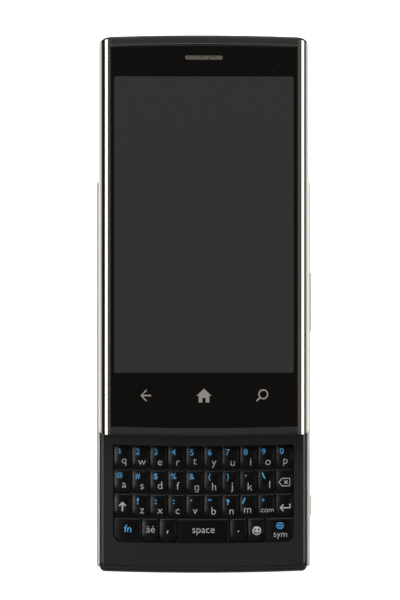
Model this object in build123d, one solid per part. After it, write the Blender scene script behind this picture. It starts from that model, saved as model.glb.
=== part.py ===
from build123d import *
import math
import os

# A portrait sliding phone: a screen slab rides on a keyboard base and is shown slid open.
# Millimetres. X runs across the phone, Y towards the earpiece end and Z out of the screen.
# The origin is the middle of the base's back face, which lies on the table.

# Overall sizes
length = 121.0
base_width = 65.0
slide_gap = 0.6
slide_travel = 42.0
end_rise = 0.65

# Shared clearances
fit = 0.05
key_clearance = 0.2
overrun = 1.0

# Slab: frame and chrome rails
slab_inset = 0.7
rail_width = 3.45
rail_land = 0.25
rail_roll_depth = 2.2
slab_corner = 2.4
slab_end_round = 0.8
flange_height = 1.1
flange_inset = 0.3
slab_floor = 1.5
panel_well_depth = 1.7

# Slab: cover glass, display and earpiece
glass_thickness = 0.85
glass_recess = 0.15
glass_corner = 0.6
glass_edge_round = 0.12
top_strip = 3.0
bottom_strip = 2.45
top_lip = 0.6
panel_inset = 0.8
panel_upper_margin = 8.6
panel_lower_margin = 14.55
panel_thickness = 1.6
panel_ledge = 1.2
earpiece_from_glass_end = 3.75
earpiece_slot_length = 11.5
earpiece_slot_width = 1.35
earpiece_mesh_recess = 0.15
capsule_length = 13.0
capsule_width = 5.6
capsule_height = 2.3

# Slab: slide plate and its screws
plate_margin = 2.6
plate_corner = 2.0
plate_thickness = 0.6
screw_shank_radius = 0.6
screw_shank_length = 1.3
screw_head_radius = 1.15
screw_head_height = 0.35
screw_slot_width = 0.3
screw_slot_depth = 0.18
screw_inset = 3.0
screw_rows = 3

# Guide rails between base and slab
guide_inset = 9.8
guide_from_end = 10.5
guide_slot_from_end = 12.5
guide_neck_width = 2.0
guide_head_width = 3.8
guide_head_height = 0.6
guide_side_clearance = 0.2
guide_height_clearance = 0.15
guide_end_clearance = 0.4
carriage_margin = 1.6
carriage_thickness = 0.6
carriage_corner = 1.5

# Flexible ribbon from the main board to the display
ribbon_width = 12.0
ribbon_thickness = 0.12
ribbon_clearance = 0.08
ribbon_from_guide_end = 6.0
ribbon_open_run = 22.0
ribbon_loop_reach = 4.0
ribbon_slot_width = 3.2
ribbon_slot_margin = 0.7

# Base: shells
side_wall = 1.3
rim_depth = 1.0
frame_corner = 1.6
frame_edge_round = 1.2
cover_floor = 1.0
cover_edge_land = 0.3
cover_seam = 0.1
strip_width = 2.1
strip_step = 0.3
deck_seam = 0.2
deck_thickness = 0.9
deck_margin = 0.5
deck_corner = 0.3
deck_sweep_from_side = 2.25
deck_sweep_radius = 4.45
deck_edge_round = 0.25
deck_bevel_width = 0.65
deck_bevel_drop = 0.185

# Base: silver side rims
rim_gap = 0.2
rim_step = 0.45
rim_end_margin = 1.95
rim_land = 0.15
rim_end_land = 0.3

# Keyboard
column_count = 10
keyboard_side_margin = 3.65
row_count = 4
row_pitch = 7.36
key_gap = 0.37
keyboard_end_margin = 9.2
window_gap = 0.3
window_top_corner = 0.6
window_end_corner = 2.9
key_proud = 0.25
key_corner = 0.35
key_end_corner = 2.5
key_crown_drop = 0.24
key_edge_round = 0.2
key_travel = 0.35
stem_radius = 0.8
stem_length = 0.25
dome_radius = 2.0
dome_height = 0.2
dome_clearance = 0.05
letter_rows = ("qwertyuiop", "asdfghjkl", "zxcvbnm")
bottom_row = ("fn", "accent", "comma", "space", "period", "emoticon", "symbols")
bottom_row_pitch_shares = (1.54, 0.98, 1, 2.92, 1, 1, 1.56)

# Boards, shelf and battery
board_thickness = 0.7
shelf_thickness = 0.5
board_margin = 1.6
keypad_board_margin = 0.8
board_gap = 2.5
shield_height = 0.75
shield_width = 17.0
shield_gap = 0.3
shield_margin = 1.4
shield_from_jack = 16.5
battery_inset = 9.0
battery_length = 54.0
battery_from_end = 22.5
battery_thickness = 3.85
battery_corner = 1.2

# Camera, flash and loudspeaker, which look out through the back cover
camera_from_end = 16.5
camera_body = 9.0
camera_headroom = 0.9
camera_barrel_radius = 3.3
camera_ring_radius = 4.5
camera_window_radius = 3.6
camera_window_thickness = 0.5
camera_ring_flange = 0.9
camera_flange_height = 0.5
back_recess = 0.15
flash_from_camera = 9.5
flash_radius = 1.5
speaker_from_side = 17.5
speaker_from_end = 11.0
speaker_length = 15.0
speaker_width = 9.0
speaker_gap = 0.5
grille_slots = 5
grille_slot_length = 7.0
grille_slot_width = 0.9
grille_pitch = 2.2

# Sockets
jack_from_side = 13.5
jack_bore_radius = 1.78
jack_bore_depth = 14.0
jack_wall = 0.35
jack_back = 1.2
jack_headroom = 0.04
usb_width = 7.6
usb_height = 2.6
usb_depth = 6.0
usb_wall = 0.35
usb_from_cover = 0.25
usb_recess = 0.3
usb_tongue_width = 4.4
usb_tongue_height = 0.6
usb_tongue_length = 3.8

# Side buttons
button_height = 2.0
button_proud = 0.35
button_travel = 0.4
button_round = 0.3
button_wall_gap = 0.5
button_neck_share = 0.5
button_neck_height = 1.4
button_flange_height = 2.2
button_flange_thickness = 0.7
button_flange_gap = 0.3
button_flange_share = 0.7
rocker_from_end = 38.5
rocker_length = 18.0
rocker_pin_radius = 0.35
rocker_pin_reach = 0.5
rocker_pin_cover = 0.2
rocker_pin_clearance = 0.05
camera_key_from_end = 20.5
camera_key_length = 6.2
power_from_side = 13.5
power_length = 9.0
switch_width = 3.0
switch_depth = 1.2
switch_height = 0.45
switch_gap = 0.05

# Heights, stacked up from the back face
shelf_bottom = cover_floor + battery_thickness + 2 * fit
board_bottom = shelf_bottom + shelf_thickness
board_top = board_bottom + board_thickness
dome_top = board_top + dome_height
stem_tip = dome_top + key_travel + dome_clearance
deck_bottom = stem_tip + stem_length
deck_top = deck_bottom + deck_thickness
strip_top = deck_top - strip_step
key_top = deck_top + key_proud
slab_bottom = deck_top + slide_gap
plate_top = slab_bottom + plate_thickness
flange_top = slab_bottom + flange_height
guide_head_bottom = plate_top + guide_height_clearance
guide_head_top = guide_head_bottom + guide_head_height
slab_floor_top = plate_top + slab_floor
panel_bottom = slab_floor_top + panel_well_depth
glass_bottom = panel_bottom + panel_thickness
glass_top = glass_bottom + glass_thickness
slab_top = glass_top + glass_recess

# The frame is as tall as the headphone socket needs, and the back cover takes the rest
jack_outer_radius = jack_bore_radius + jack_wall
frame_height = 2 * (jack_outer_radius + fit) + jack_headroom
cover_height = deck_bottom - frame_height
cover_edge_round = cover_height - cover_seam - cover_edge_land
jack_z = deck_bottom - frame_height / 2
usb_z = cover_height + usb_from_cover + usb_height / 2
rim_bottom = cover_height + rim_gap
rim_top = deck_top - rim_step
rim_round = rim_depth - rim_land
rim_end_round = rim_depth - rim_end_land
pin_half = button_neck_height / 2 + key_clearance + rocker_pin_reach
button_z = deck_bottom - pin_half - rocker_pin_cover

# Widths and places, from the sides and ends inwards
half_length = length / 2
frame_width = base_width - 2 * rim_depth
cavity_width = frame_width - 2 * side_wall
end_wall = rim_depth + side_wall
cavity_end = half_length - end_wall
deck_width = frame_width - 2 * deck_margin
deck_end = half_length - strip_width
slab_width = base_width - 2 * slab_inset
rail_inner = slab_width / 2 - rail_width
rail_roll_across = rail_width - rail_land
glass_width = 2 * (rail_inner - fit)
glass_upper_end = half_length - top_strip
glass_lower_end = -half_length + bottom_strip
panel_width = glass_width - 2 * panel_inset
panel_upper_end = glass_upper_end - panel_upper_margin
panel_lower_end = glass_lower_end + panel_lower_margin
earpiece_y = glass_upper_end - earpiece_from_glass_end
guide_spacing = slab_width - 2 * guide_inset
guide_upper_end = half_length - guide_from_end
guide_lower_end = -half_length + guide_slot_from_end + slide_travel
guide_length = guide_upper_end - guide_lower_end
ribbon_base_y = guide_lower_end + ribbon_from_guide_end
ribbon_slab_y = ribbon_base_y + ribbon_open_run - slide_travel
keyboard_width = deck_width - 2 * keyboard_side_margin
column_pitch = keyboard_width / column_count
keyboard_lower = -half_length + keyboard_end_margin
keyboard_upper = keyboard_lower + row_count * row_pitch
battery_width = cavity_width - 2 * battery_inset
battery_y = -half_length + battery_from_end + battery_length / 2
camera_y = half_length - camera_from_end
speaker_x = -frame_width / 2 + speaker_from_side
speaker_y = -half_length + speaker_from_end
jack_x = -frame_width / 2 + jack_from_side
power_x = frame_width / 2 - power_from_side
rocker_y = half_length - rocker_from_end
camera_key_y = -half_length + camera_key_from_end
slab_place = Pos(0, slide_travel, 0)


def end_drop(x):
    """How far a bowed end falls back at x from its middle."""
    return end_rise * (2 * x / base_width) ** 2


def box(x_low, x_high, y_low, y_high, z_low, z_high):
    """A block between two corners."""
    size = (x_high - x_low, y_high - y_low, z_high - z_low)
    return Pos(x_low, y_low, z_low) * Box(*size, align=(Align.MIN, Align.MIN, Align.MIN))


def prism(face, low, high):
    """A flat outline raised from one height to another."""
    return Pos(0, 0, low) * extrude(face, high - low)


def rod(x, y, low, high, radius):
    """An upright cylinder."""
    return Pos(x, y, low) * Cylinder(radius, high - low, align=(Align.CENTER, Align.CENTER, Align.MIN))


def bowed_outline(width, upper, lower, upper_bow=1, lower_bow=-1):
    """Straight sides and two curved ends. The ends' middles are at the Y given, bowed up (1) or down (-1)."""
    half = width / 2
    upper_side = upper - upper_bow * end_drop(half)
    lower_side = lower - lower_bow * end_drop(half)
    right = Line((half, lower_side), (half, upper_side))
    top = ThreePointArc((half, upper_side), (0, upper), (-half, upper_side))
    left = Line((-half, upper_side), (-half, lower_side))
    bottom = ThreePointArc((-half, lower_side), (0, lower), (half, lower_side))
    return make_face([right, top, left, bottom])


def bowed_plate(width, upper, lower, corner):
    """A bowed outline with rounded corners."""
    face = bowed_outline(width, upper, lower)
    return fillet(face.vertices(), corner)


def round_top(solid, radius):
    """Rolls over the highest edges."""
    return fillet(solid.edges().group_by(Axis.Z)[-1], radius)


def round_bottom(solid, radius):
    """Rolls over the lowest edges."""
    return fillet(solid.edges().group_by(Axis.Z)[0], radius)


def rail_section():
    """A rail across its length: flat inside and below, with a wide elliptical roll at the outer edge."""
    outer = slab_width / 2
    roll_bottom = slab_top - rail_roll_depth
    roll_inner = outer - rail_roll_across
    roll = EllipticalCenterArc((roll_inner, roll_bottom), rail_roll_across, rail_roll_depth, arc_size=90)
    foot = [(rail_inner, flange_top), (outer, flange_top)]
    below = Polyline((rail_inner, slab_top), *foot, (outer, roll_bottom))
    land = Line((roll_inner, slab_top), (rail_inner, slab_top))
    return make_face(below.edges() + [roll, land])


def slab_rails():
    """The two chrome rails along the slab's sides, cut to its bowed outline."""
    outline = bowed_plate(slab_width, half_length, -half_length, slab_corner)
    bar = extrude(Plane.XZ * rail_section(), half_length + overrun, both=True)
    right = bar & prism(outline, slab_bottom, slab_top + overrun)
    return [mirror(right, Plane.YZ), right]


def screw_places():
    """Where the slide plate is screwed to the slab frame."""
    side = slab_width / 2 - plate_margin - screw_inset
    reach = half_length - plate_margin - screw_inset - end_drop(side)
    step = 2 * reach / (screw_rows - 1)
    return [(sign * side, -reach + row * step) for row in range(screw_rows) for sign in (-1, 1)]


def guide_places():
    return (-guide_spacing / 2, guide_spacing / 2)


def guide_slot(width, low, high):
    """The two long slots that the guide rails run in, in the slab's own place."""
    slot_lower = guide_lower_end - slide_travel - guide_end_clearance
    slot_upper = guide_upper_end + guide_end_clearance
    return [box(x - width / 2, x + width / 2, slot_lower, slot_upper, low, high) for x in guide_places()]


def ribbon_slot(y, low, high):
    """A slot that the ribbon passes through."""
    half = ribbon_width / 2 + ribbon_slot_margin
    return box(-half, half, y - ribbon_slot_width / 2, y + ribbon_slot_width / 2, low, high)


def slab_frame():
    """The dark frame between the rails: floor, display pocket and the two bowed end strips."""
    flange_end = half_length - flange_inset
    flange = bowed_plate(slab_width - 2 * flange_inset, flange_end, -flange_end, slab_corner)
    core = prism(bowed_outline(2 * rail_inner, half_length, -half_length), flange_top, slab_top)
    end_edges = core.edges().group_by(Axis.Z)[-1].filter_by(GeomType.CIRCLE)
    frame = prism(flange, slab_bottom, flange_top) + fillet(end_edges, slab_end_round)
    plate_end = half_length - plate_margin + fit
    plate_seat = bowed_plate(slab_width - 2 * plate_margin + 2 * fit, plate_end, -plate_end, plate_corner)
    frame -= prism(plate_seat, slab_bottom - overrun, plate_top)
    glass_seat = bowed_outline(slab_width, glass_upper_end + fit, glass_lower_end - fit)
    frame -= prism(glass_seat, glass_bottom, slab_top + overrun)
    lip_seat = bowed_outline(slab_width, glass_upper_end + top_lip, glass_lower_end)
    frame -= prism(lip_seat, glass_top, slab_top + overrun)
    half_panel = panel_width / 2 + fit
    seat_lower = panel_lower_end - fit
    seat_upper = panel_upper_end + fit
    panel_seat = box(-half_panel, half_panel, seat_lower, seat_upper, panel_bottom, slab_top)
    half_well = panel_width / 2 - panel_ledge
    well_lower = panel_lower_end + panel_ledge
    well_upper = panel_upper_end - panel_ledge
    panel_well = box(-half_well, half_well, well_lower, well_upper, slab_floor_top, panel_bottom + overrun)
    frame -= panel_seat
    frame -= panel_well
    capsule_seat = Pos(0, earpiece_y) * Rectangle(capsule_length + 2 * fit, capsule_width + 2 * fit)
    frame -= prism(capsule_seat, glass_bottom - capsule_height, glass_bottom + overrun)
    channel_top = guide_head_top + guide_height_clearance
    for channel in guide_slot(guide_head_width + 2 * guide_side_clearance, slab_bottom, channel_top):
        frame -= channel
    frame -= ribbon_slot(ribbon_slab_y, slab_bottom, slab_floor_top + overrun)
    for x, y in screw_places():
        frame -= rod(x, y, slab_bottom, plate_top + screw_shank_length + fit, screw_shank_radius + fit)
    return frame


def front_glass():
    """The cover glass, with the earpiece slot."""
    outline = bowed_plate(glass_width, glass_upper_end, glass_lower_end, glass_corner)
    glass = round_top(prism(outline, glass_bottom, glass_top), glass_edge_round)
    slot = Pos(0, earpiece_y) * SlotOverall(earpiece_slot_length, earpiece_slot_width)
    return glass - prism(slot, glass_bottom - overrun, glass_top + overrun)


def display_panel():
    """The display module, bonded under the glass."""
    half = panel_width / 2
    return box(-half, half, panel_lower_end, panel_upper_end, panel_bottom, glass_bottom)


def earpiece():
    """The earpiece capsule, with the mesh that fills the slot in the glass."""
    outline = Pos(0, earpiece_y) * Rectangle(capsule_length, capsule_width)
    capsule = prism(outline, glass_bottom - capsule_height, glass_bottom)
    insert = Pos(0, earpiece_y) * SlotOverall(earpiece_slot_length - 2 * fit, earpiece_slot_width - 2 * fit)
    return capsule + prism(insert, glass_bottom, glass_top - earpiece_mesh_recess)


def slide_plate():
    """The slab's back plate, with the slots that the guide rails run in."""
    plate_end = half_length - plate_margin
    outline = bowed_plate(slab_width - 2 * plate_margin, plate_end, -plate_end, plate_corner)
    plate = prism(outline, slab_bottom, plate_top)
    slot_width = guide_neck_width + 2 * guide_side_clearance
    for slot in guide_slot(slot_width, slab_bottom - overrun, plate_top + overrun):
        plate -= slot
    plate -= ribbon_slot(ribbon_slab_y, slab_bottom - overrun, plate_top + overrun)
    for x, y in screw_places():
        plate -= rod(x, y, slab_bottom - overrun, slab_bottom + screw_head_height, screw_head_radius + fit)
        plate -= rod(x, y, slab_bottom, plate_top + overrun, screw_shank_radius + fit)
    return plate


def plate_screws():
    """The small screws that hold the slide plate, each with a cross recess."""
    screws = []
    for x, y in screw_places():
        head_top = slab_bottom + screw_head_height
        screw = rod(x, y, slab_bottom, head_top, screw_head_radius)
        screw += rod(x, y, head_top, plate_top + screw_shank_length, screw_shank_radius)
        for across, along in ((screw_slot_width, screw_head_radius), (screw_head_radius, screw_slot_width)):
            slot = Pos(x, y) * Rectangle(across, along)
            screw -= prism(slot, slab_bottom - overrun, slab_bottom + screw_slot_depth)
        screws.append(screw)
    return screws


def carriage_outline(clearance):
    """The guide carriage's outline, or its seat with a clearance."""
    width = guide_spacing + guide_head_width + 2 * carriage_margin + 2 * clearance
    height = guide_length + 2 * carriage_margin + 2 * clearance
    middle = (guide_lower_end + guide_upper_end) / 2
    return Pos(0, middle) * RectangleRounded(width, height, carriage_corner)


def guide_carriage():
    """The steel plate on the base, with the two T-shaped rails that hold the slab."""
    carriage = prism(carriage_outline(0), deck_top - carriage_thickness, deck_top)
    for x in guide_places():
        middle = (guide_lower_end + guide_upper_end) / 2
        neck = Pos(x, middle) * Rectangle(guide_neck_width, guide_length)
        head = Pos(x, middle) * Rectangle(guide_head_width, guide_length)
        carriage += prism(neck, deck_top, guide_head_bottom)
        carriage += prism(head, guide_head_bottom, guide_head_top)
    return carriage - ribbon_slot(ribbon_base_y, 0, slab_bottom)


def flex_ribbon():
    """The ribbon from the main board: up through the deck, round one loop in the gap and into the slab."""
    half = ribbon_width / 2
    lower_run = deck_top + ribbon_clearance
    upper_run = slab_bottom - ribbon_clearance
    slab_y = ribbon_slab_y + slide_travel
    loop_y = slab_y + ribbon_loop_reach
    loop_z = (lower_run + upper_run) / 2
    outer = (upper_run - lower_run) / 2
    inner = outer - ribbon_thickness
    base_back = ribbon_base_y + ribbon_thickness
    base_riser = box(-half, half, ribbon_base_y, base_back, board_top, lower_run + ribbon_thickness)
    lower = box(-half, half, ribbon_base_y, loop_y, lower_run, lower_run + ribbon_thickness)
    upper = box(-half, half, slab_y, loop_y, upper_run - ribbon_thickness, upper_run)
    riser_top = (slab_floor_top + panel_bottom) / 2
    slab_riser = box(-half, half, slab_y, slab_y + ribbon_thickness, upper_run - ribbon_thickness, riser_top)
    tube = Cylinder(outer, ribbon_width) - Cylinder(inner, ribbon_width)
    ring = Pos(0, loop_y, loop_z) * Rot(0, 90, 0) * tube
    loop = ring & box(-half, half, loop_y, loop_y + outer + overrun, lower_run, upper_run)
    return base_riser + lower + loop + upper + slab_riser


def side_cut(side_z_low, side_z_high, y, y_length, x_low, x_high):
    """A cut through the right-hand wall or rim."""
    return box(x_low, x_high, y - y_length / 2, y + y_length / 2, side_z_low, side_z_high)


def button_openings(button_length):
    """Cuts for a button pressed along -X, in a wall with its face at X = 0."""
    cap = button_length + 2 * key_clearance
    neck = button_length * button_neck_share + 2 * key_clearance
    flange = button_length * button_flange_share + 4 * key_clearance
    cap_half = button_height / 2 + key_clearance
    neck_half = button_neck_height / 2 + key_clearance
    flange_half = button_flange_height / 2 + key_clearance
    flange_reach = side_wall + button_flange_gap + button_flange_thickness + button_travel + switch_gap
    pocket = side_cut(-cap_half, cap_half, 0, cap, 0, rim_depth + overrun)
    window = side_cut(-neck_half, neck_half, 0, neck, -side_wall - overrun, overrun)
    room = side_cut(-flange_half, flange_half, 0, flange, -flange_reach, -side_wall)
    return pocket, window, room


def button(button_length):
    """A button with its neck and inner flange, in the same place as its openings."""
    cap_half = button_height / 2
    neck_half = button_neck_height / 2
    flange_half = button_flange_height / 2
    flange_outer = -side_wall - button_flange_gap
    flange_inner = flange_outer - button_flange_thickness
    cap = side_cut(-cap_half, cap_half, 0, button_length, button_wall_gap, rim_depth + button_proud)
    cap = fillet(cap.edges().group_by(Axis.X)[-1], button_round)
    neck_length = button_length * button_neck_share
    flange_length = button_length * button_flange_share
    neck = side_cut(-neck_half, neck_half, 0, neck_length, flange_outer, button_wall_gap)
    flange = side_cut(-flange_half, flange_half, 0, flange_length, flange_inner, flange_outer)
    return cap + neck + flange


def switch(y):
    """A switch on a board's edge, in a button's own place. Its tip is just past the flange's full travel."""
    tip = -side_wall - button_flange_gap - button_flange_thickness - button_travel - switch_gap
    foot = board_top - button_z
    return side_cut(foot, foot + switch_height, y, switch_width, tip - switch_depth, tip)


rocker_place = Pos(frame_width / 2, rocker_y, button_z)
camera_key_place = Pos(frame_width / 2, camera_key_y, button_z)
power_place = Pos(power_x, half_length - end_drop(power_x) - rim_depth, button_z) * Rot(0, 0, 90)


def rocker_pin(radius, reach):
    """The rocker's pivot, in the middle of the wall."""
    return rod(-side_wall / 2, 0, -reach, reach, radius)


def volume_rocker():
    """The volume rocker, which tips about its pin."""
    return rocker_place * (button(rocker_length) + rocker_pin(rocker_pin_radius, pin_half))


def camera_key():
    return camera_key_place * button(camera_key_length)


def power_key():
    return power_place * button(power_length)


def all_button_openings():
    """Every button's cuts, in place."""
    cuts = []
    places = (rocker_place, camera_key_place, power_place)
    lengths = (rocker_length, camera_key_length, power_length)
    for place, size in zip(places, lengths):
        cuts += [place * cut for cut in button_openings(size)]
    return cuts


def jack_mouth():
    """Where the headphone socket's mouth stands on the bowed top end."""
    return half_length - end_drop(abs(jack_x) + jack_outer_radius) - fit


def lying_rod(x, z, y_low, y_high, radius):
    """A cylinder along Y."""
    return Pos(x, y_low, z) * Rot(-90, 0, 0) * rod(0, 0, 0, y_high - y_low, radius)


def headphone_jack():
    """The headphone socket: a barrel with a blind bore that opens at the top end."""
    mouth = jack_mouth()
    body = lying_rod(jack_x, jack_z, mouth - jack_bore_depth - jack_back, mouth, jack_outer_radius)
    return body - lying_rod(jack_x, jack_z, mouth - jack_bore_depth, mouth + overrun, jack_bore_radius)


def usb_socket():
    """The charging socket: a thin shell with a tongue inside, open at the lower end."""
    half = usb_width / 2
    low = usb_z - usb_height / 2
    high = usb_z + usb_height / 2
    mouth = -half_length + usb_recess
    back = mouth + usb_depth
    inside = half - usb_wall
    shell = box(-half, half, mouth, back, low, high)
    shell -= box(-inside, inside, mouth - overrun, back - usb_wall, low + usb_wall, high - usb_wall)
    tongue = usb_tongue_width / 2
    rise = usb_tongue_height / 2
    tongue_mouth = back - usb_wall - usb_tongue_length
    return shell + box(-tongue, tongue, tongue_mouth, back - usb_wall, usb_z - rise, usb_z + rise)


def socket_openings():
    """Cuts in the end walls and the shelf for the two sockets."""
    half = usb_width / 2 + fit
    low = usb_z - usb_height / 2 - fit
    high = usb_z + usb_height / 2 + fit
    usb_back = -half_length + usb_recess + usb_depth + fit
    jack_radius = jack_outer_radius + fit
    jack_back_y = jack_mouth() - jack_bore_depth - jack_back - fit
    usb_cut = box(-half, half, -half_length - overrun, usb_back, low, high)
    jack_cut = lying_rod(jack_x, jack_z, jack_back_y, half_length + overrun, jack_radius)
    jack_left = jack_x - jack_radius
    jack_right = jack_x + jack_radius
    jack_notch = box(jack_left, jack_right, jack_back_y, cavity_end, shelf_bottom, board_top)
    return [usb_cut, jack_cut, jack_notch]


def camera_opening(low, high):
    """The hole in the shelf and the main board round the camera body."""
    half = camera_body / 2 + key_clearance
    return box(-half, half, camera_y - half, camera_y + half, low, high)


def deck_outline(width, seam):
    """The deck's outline, cut to a width: its ends are bowed, and sweep back towards the sides."""
    half = width / 2
    end = deck_end + seam
    bend = deck_width / 2 - deck_sweep_from_side
    bend_y = end - end_drop(bend)
    side_y = bend_y - deck_sweep_radius + math.sqrt(deck_sweep_radius**2 - (half - bend) ** 2)
    edges = [Line((side, -side_y), (side, side_y)) for side in (-half, half)]
    for sign in (-1, 1):
        bow = ThreePointArc((-bend, sign * bend_y), (0, sign * end), (bend, sign * bend_y))
        left = TangentArc((-bend, sign * bend_y), (-half, sign * side_y), tangent=-(bow % 0))
        right = TangentArc((bend, sign * bend_y), (half, sign * side_y), tangent=bow % 1)
        edges += [bow, left, right]
    return make_face(edges)


def mid_frame():
    """The base's middle frame: side and end walls, the shelf that carries the boards, and the end strips."""
    outline = bowed_plate(frame_width, half_length, -half_length, frame_corner)
    frame = round_top(prism(outline, cover_height, strip_top), frame_edge_round)
    deck_seat = deck_outline(frame_width + 2 * rim_gap, deck_seam)
    frame -= prism(deck_seat, deck_bottom, strip_top + overrun)
    cavity = bowed_outline(cavity_width, cavity_end, -cavity_end)
    frame -= prism(cavity, cover_height - overrun, shelf_bottom)
    frame -= prism(cavity, board_bottom, deck_bottom + overrun)
    for cut in all_button_openings() + socket_openings():
        frame -= cut
    frame -= rocker_place * rocker_pin(rocker_pin_radius + rocker_pin_clearance, pin_half + fit)
    return frame - camera_opening(shelf_bottom - overrun, board_bottom + overrun)


def back_cover():
    """The clip-on back cover, with rolled edges, camera, flash and loudspeaker openings."""
    outline = bowed_plate(frame_width, half_length, -half_length, frame_corner + cover_edge_round)
    cover = round_bottom(prism(outline, 0, cover_height - cover_seam), cover_edge_round)
    cover -= prism(bowed_outline(cavity_width, cavity_end, -cavity_end), cover_floor, cover_height + overrun)
    cover -= rod(0, camera_y, -overrun, cover_height, camera_ring_radius + fit)
    cover -= rod(flash_from_camera, camera_y, -overrun, cover_height, flash_radius + fit)
    first = speaker_y - grille_pitch * (grille_slots - 1) / 2
    for row in range(grille_slots):
        slot = Pos(speaker_x, first + row * grille_pitch) * SlotOverall(grille_slot_length, grille_slot_width)
        cover -= prism(slot, -overrun, cover_floor + overrun)
    return cover


def base_rims():
    """The silver rims along the base's sides. The right one has openings for two buttons."""
    rim_reach = half_length - rim_end_margin
    inner = frame_width / 2
    outer = base_width / 2
    right = box(inner, outer, -rim_reach, rim_reach, rim_bottom, rim_top)
    ends = right.edges().filter_by(Axis.Z).group_by(Axis.X)[-1]
    right = fillet(ends, rim_end_round)
    upper = right.faces().sort_by(Axis.Z)[-1].edges().filter_by(Axis.Y).sort_by(Axis.X)[-1]
    lower = right.faces().sort_by(Axis.Z)[0].edges().filter_by(Axis.Y).sort_by(Axis.X)[-1]
    right = fillet([upper, lower], rim_round)
    left = mirror(right, Plane.YZ)
    for place, size in ((rocker_place, rocker_length), (camera_key_place, camera_key_length)):
        right -= place * button_openings(size)[0]
    return [left, right]


def keyboard_window():
    """The opening in the deck round all the keys. Its ends bow as the rows do."""
    width = keyboard_width - key_gap + 2 * window_gap
    upper = keyboard_upper - key_gap / 2 + window_gap
    lower = keyboard_lower + key_gap / 2 - window_gap
    face = bowed_outline(width, upper, lower, upper_bow=-1)
    ends = face.vertices().sort_by(Axis.Y)
    face = fillet(ends[:2], window_end_corner)
    return fillet(face.vertices().sort_by(Axis.Y)[-2:], window_top_corner)


def deck_bevels():
    """Wedges that bevel the deck's long upper edges."""
    edge = deck_width / 2
    start = edge - deck_bevel_width
    past = deck_top - deck_bevel_drop * (deck_bevel_width + overrun) / deck_bevel_width
    beyond = edge + overrun
    outline = Polyline((start, deck_top), (beyond, past), (beyond, deck_top + overrun), close=True)
    right = extrude(Plane.XZ * make_face(outline), half_length, both=True)
    return right + mirror(right, Plane.YZ)


def key_deck():
    """The base's front plate: keyboard window, seat for the guide carriage and a slot for the ribbon."""
    outline = deck_outline(deck_width, 0)
    columns = outline.vertices().group_by(Axis.X)
    deck = prism(fillet(columns[0] + columns[-1], deck_corner), deck_bottom, deck_top)
    deck = round_top(deck, deck_edge_round) - deck_bevels()
    deck -= prism(keyboard_window(), deck_bottom - overrun, deck_top + overrun)
    deck -= prism(carriage_outline(fit), deck_top - carriage_thickness, deck_top + overrun)
    return deck - ribbon_slot(ribbon_base_y, deck_bottom - overrun, deck_top)


def key_layout():
    """Each key's name, row from the top, and its left and right ends in column pitches from the left."""
    last = column_count - 1
    layout = [("key_" + letter, 0, n, n + 1) for n, letter in enumerate(letter_rows[0])]
    layout += [("key_" + letter, 1, n, n + 1) for n, letter in enumerate(letter_rows[1])]
    layout += [("key_backspace", 1, last, last + 1), ("key_shift", 2, 0, 1)]
    layout += [("key_" + letter, 2, n + 1, n + 2) for n, letter in enumerate(letter_rows[2])]
    layout += [("key_domain", 2, last - 1, last), ("key_enter", 2, last, last + 1)]
    start = 0
    for name, share in zip(bottom_row, bottom_row_pitch_shares):
        layout.append(("key_" + name, row_count - 1, start, start + share))
        start += share
    return layout


def key_ends(row, start, stop):
    """A key's left, right, lower and upper limits at the middle of its row."""
    left = start * column_pitch - keyboard_width / 2 + key_gap / 2
    right = stop * column_pitch - keyboard_width / 2 - key_gap / 2
    upper = keyboard_upper - row * row_pitch - key_gap / 2
    return left, right, upper - row_pitch + key_gap, upper


def key_centre(row, start, stop):
    left, right, lower, upper = key_ends(row, start, stop)
    x = (left + right) / 2
    return x, (lower + upper) / 2 + end_drop(x)


def key_cap(name, row, start, stop):
    """One key: a crowned cap whose edges follow the bowed rows, with a stem under it."""
    left, right, lower, upper = key_ends(row, start, stop)
    corners = [(left, lower + end_drop(left)), (right, lower + end_drop(right))]
    corners += [(right, upper + end_drop(right)), (left, upper + end_drop(left))]
    face = make_face(Polyline(*corners, close=True))
    outer_corner = {"key_fn": corners[0], "key_symbols": corners[1]}.get(name)
    if outer_corner:
        vertex = face.vertices().sort_by_distance((*outer_corner, 0))[0]
        face = fillet(vertex, key_end_corner)
    sharp = [v for v in face.vertices() if any(math.dist((v.X, v.Y), c) < key_corner for c in corners)]
    face = fillet(sharp, key_corner)
    x, y = key_centre(row, start, stop)
    crown = ((right - left) / 2) ** 2 / (2 * key_crown_drop)
    cap = prism(face, deck_bottom, key_top + overrun) & (Pos(x, y, key_top - crown) * Sphere(crown))
    top = cap.faces().sort_by(Axis.Z)[-1]
    cap = fillet(top.edges(), key_edge_round)
    return cap + rod(x, y, stem_tip, deck_bottom, stem_radius)


def keypad_board():
    """The board under the keys: the board, a dome under each key and the camera key's switch."""
    half = keyboard_width / 2 + keypad_board_margin - key_gap
    lower = keyboard_lower - keypad_board_margin
    upper = keyboard_upper + end_drop(half) + keypad_board_margin - key_gap
    solids = [box(-half, half, lower, upper, board_bottom, board_top)]
    for name, row, start, stop in key_layout():
        x, y = key_centre(row, start, stop)
        solids.append(rod(x, y, board_top, dome_top, dome_radius))
    return solids + [camera_key_place * switch(0)]


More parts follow.
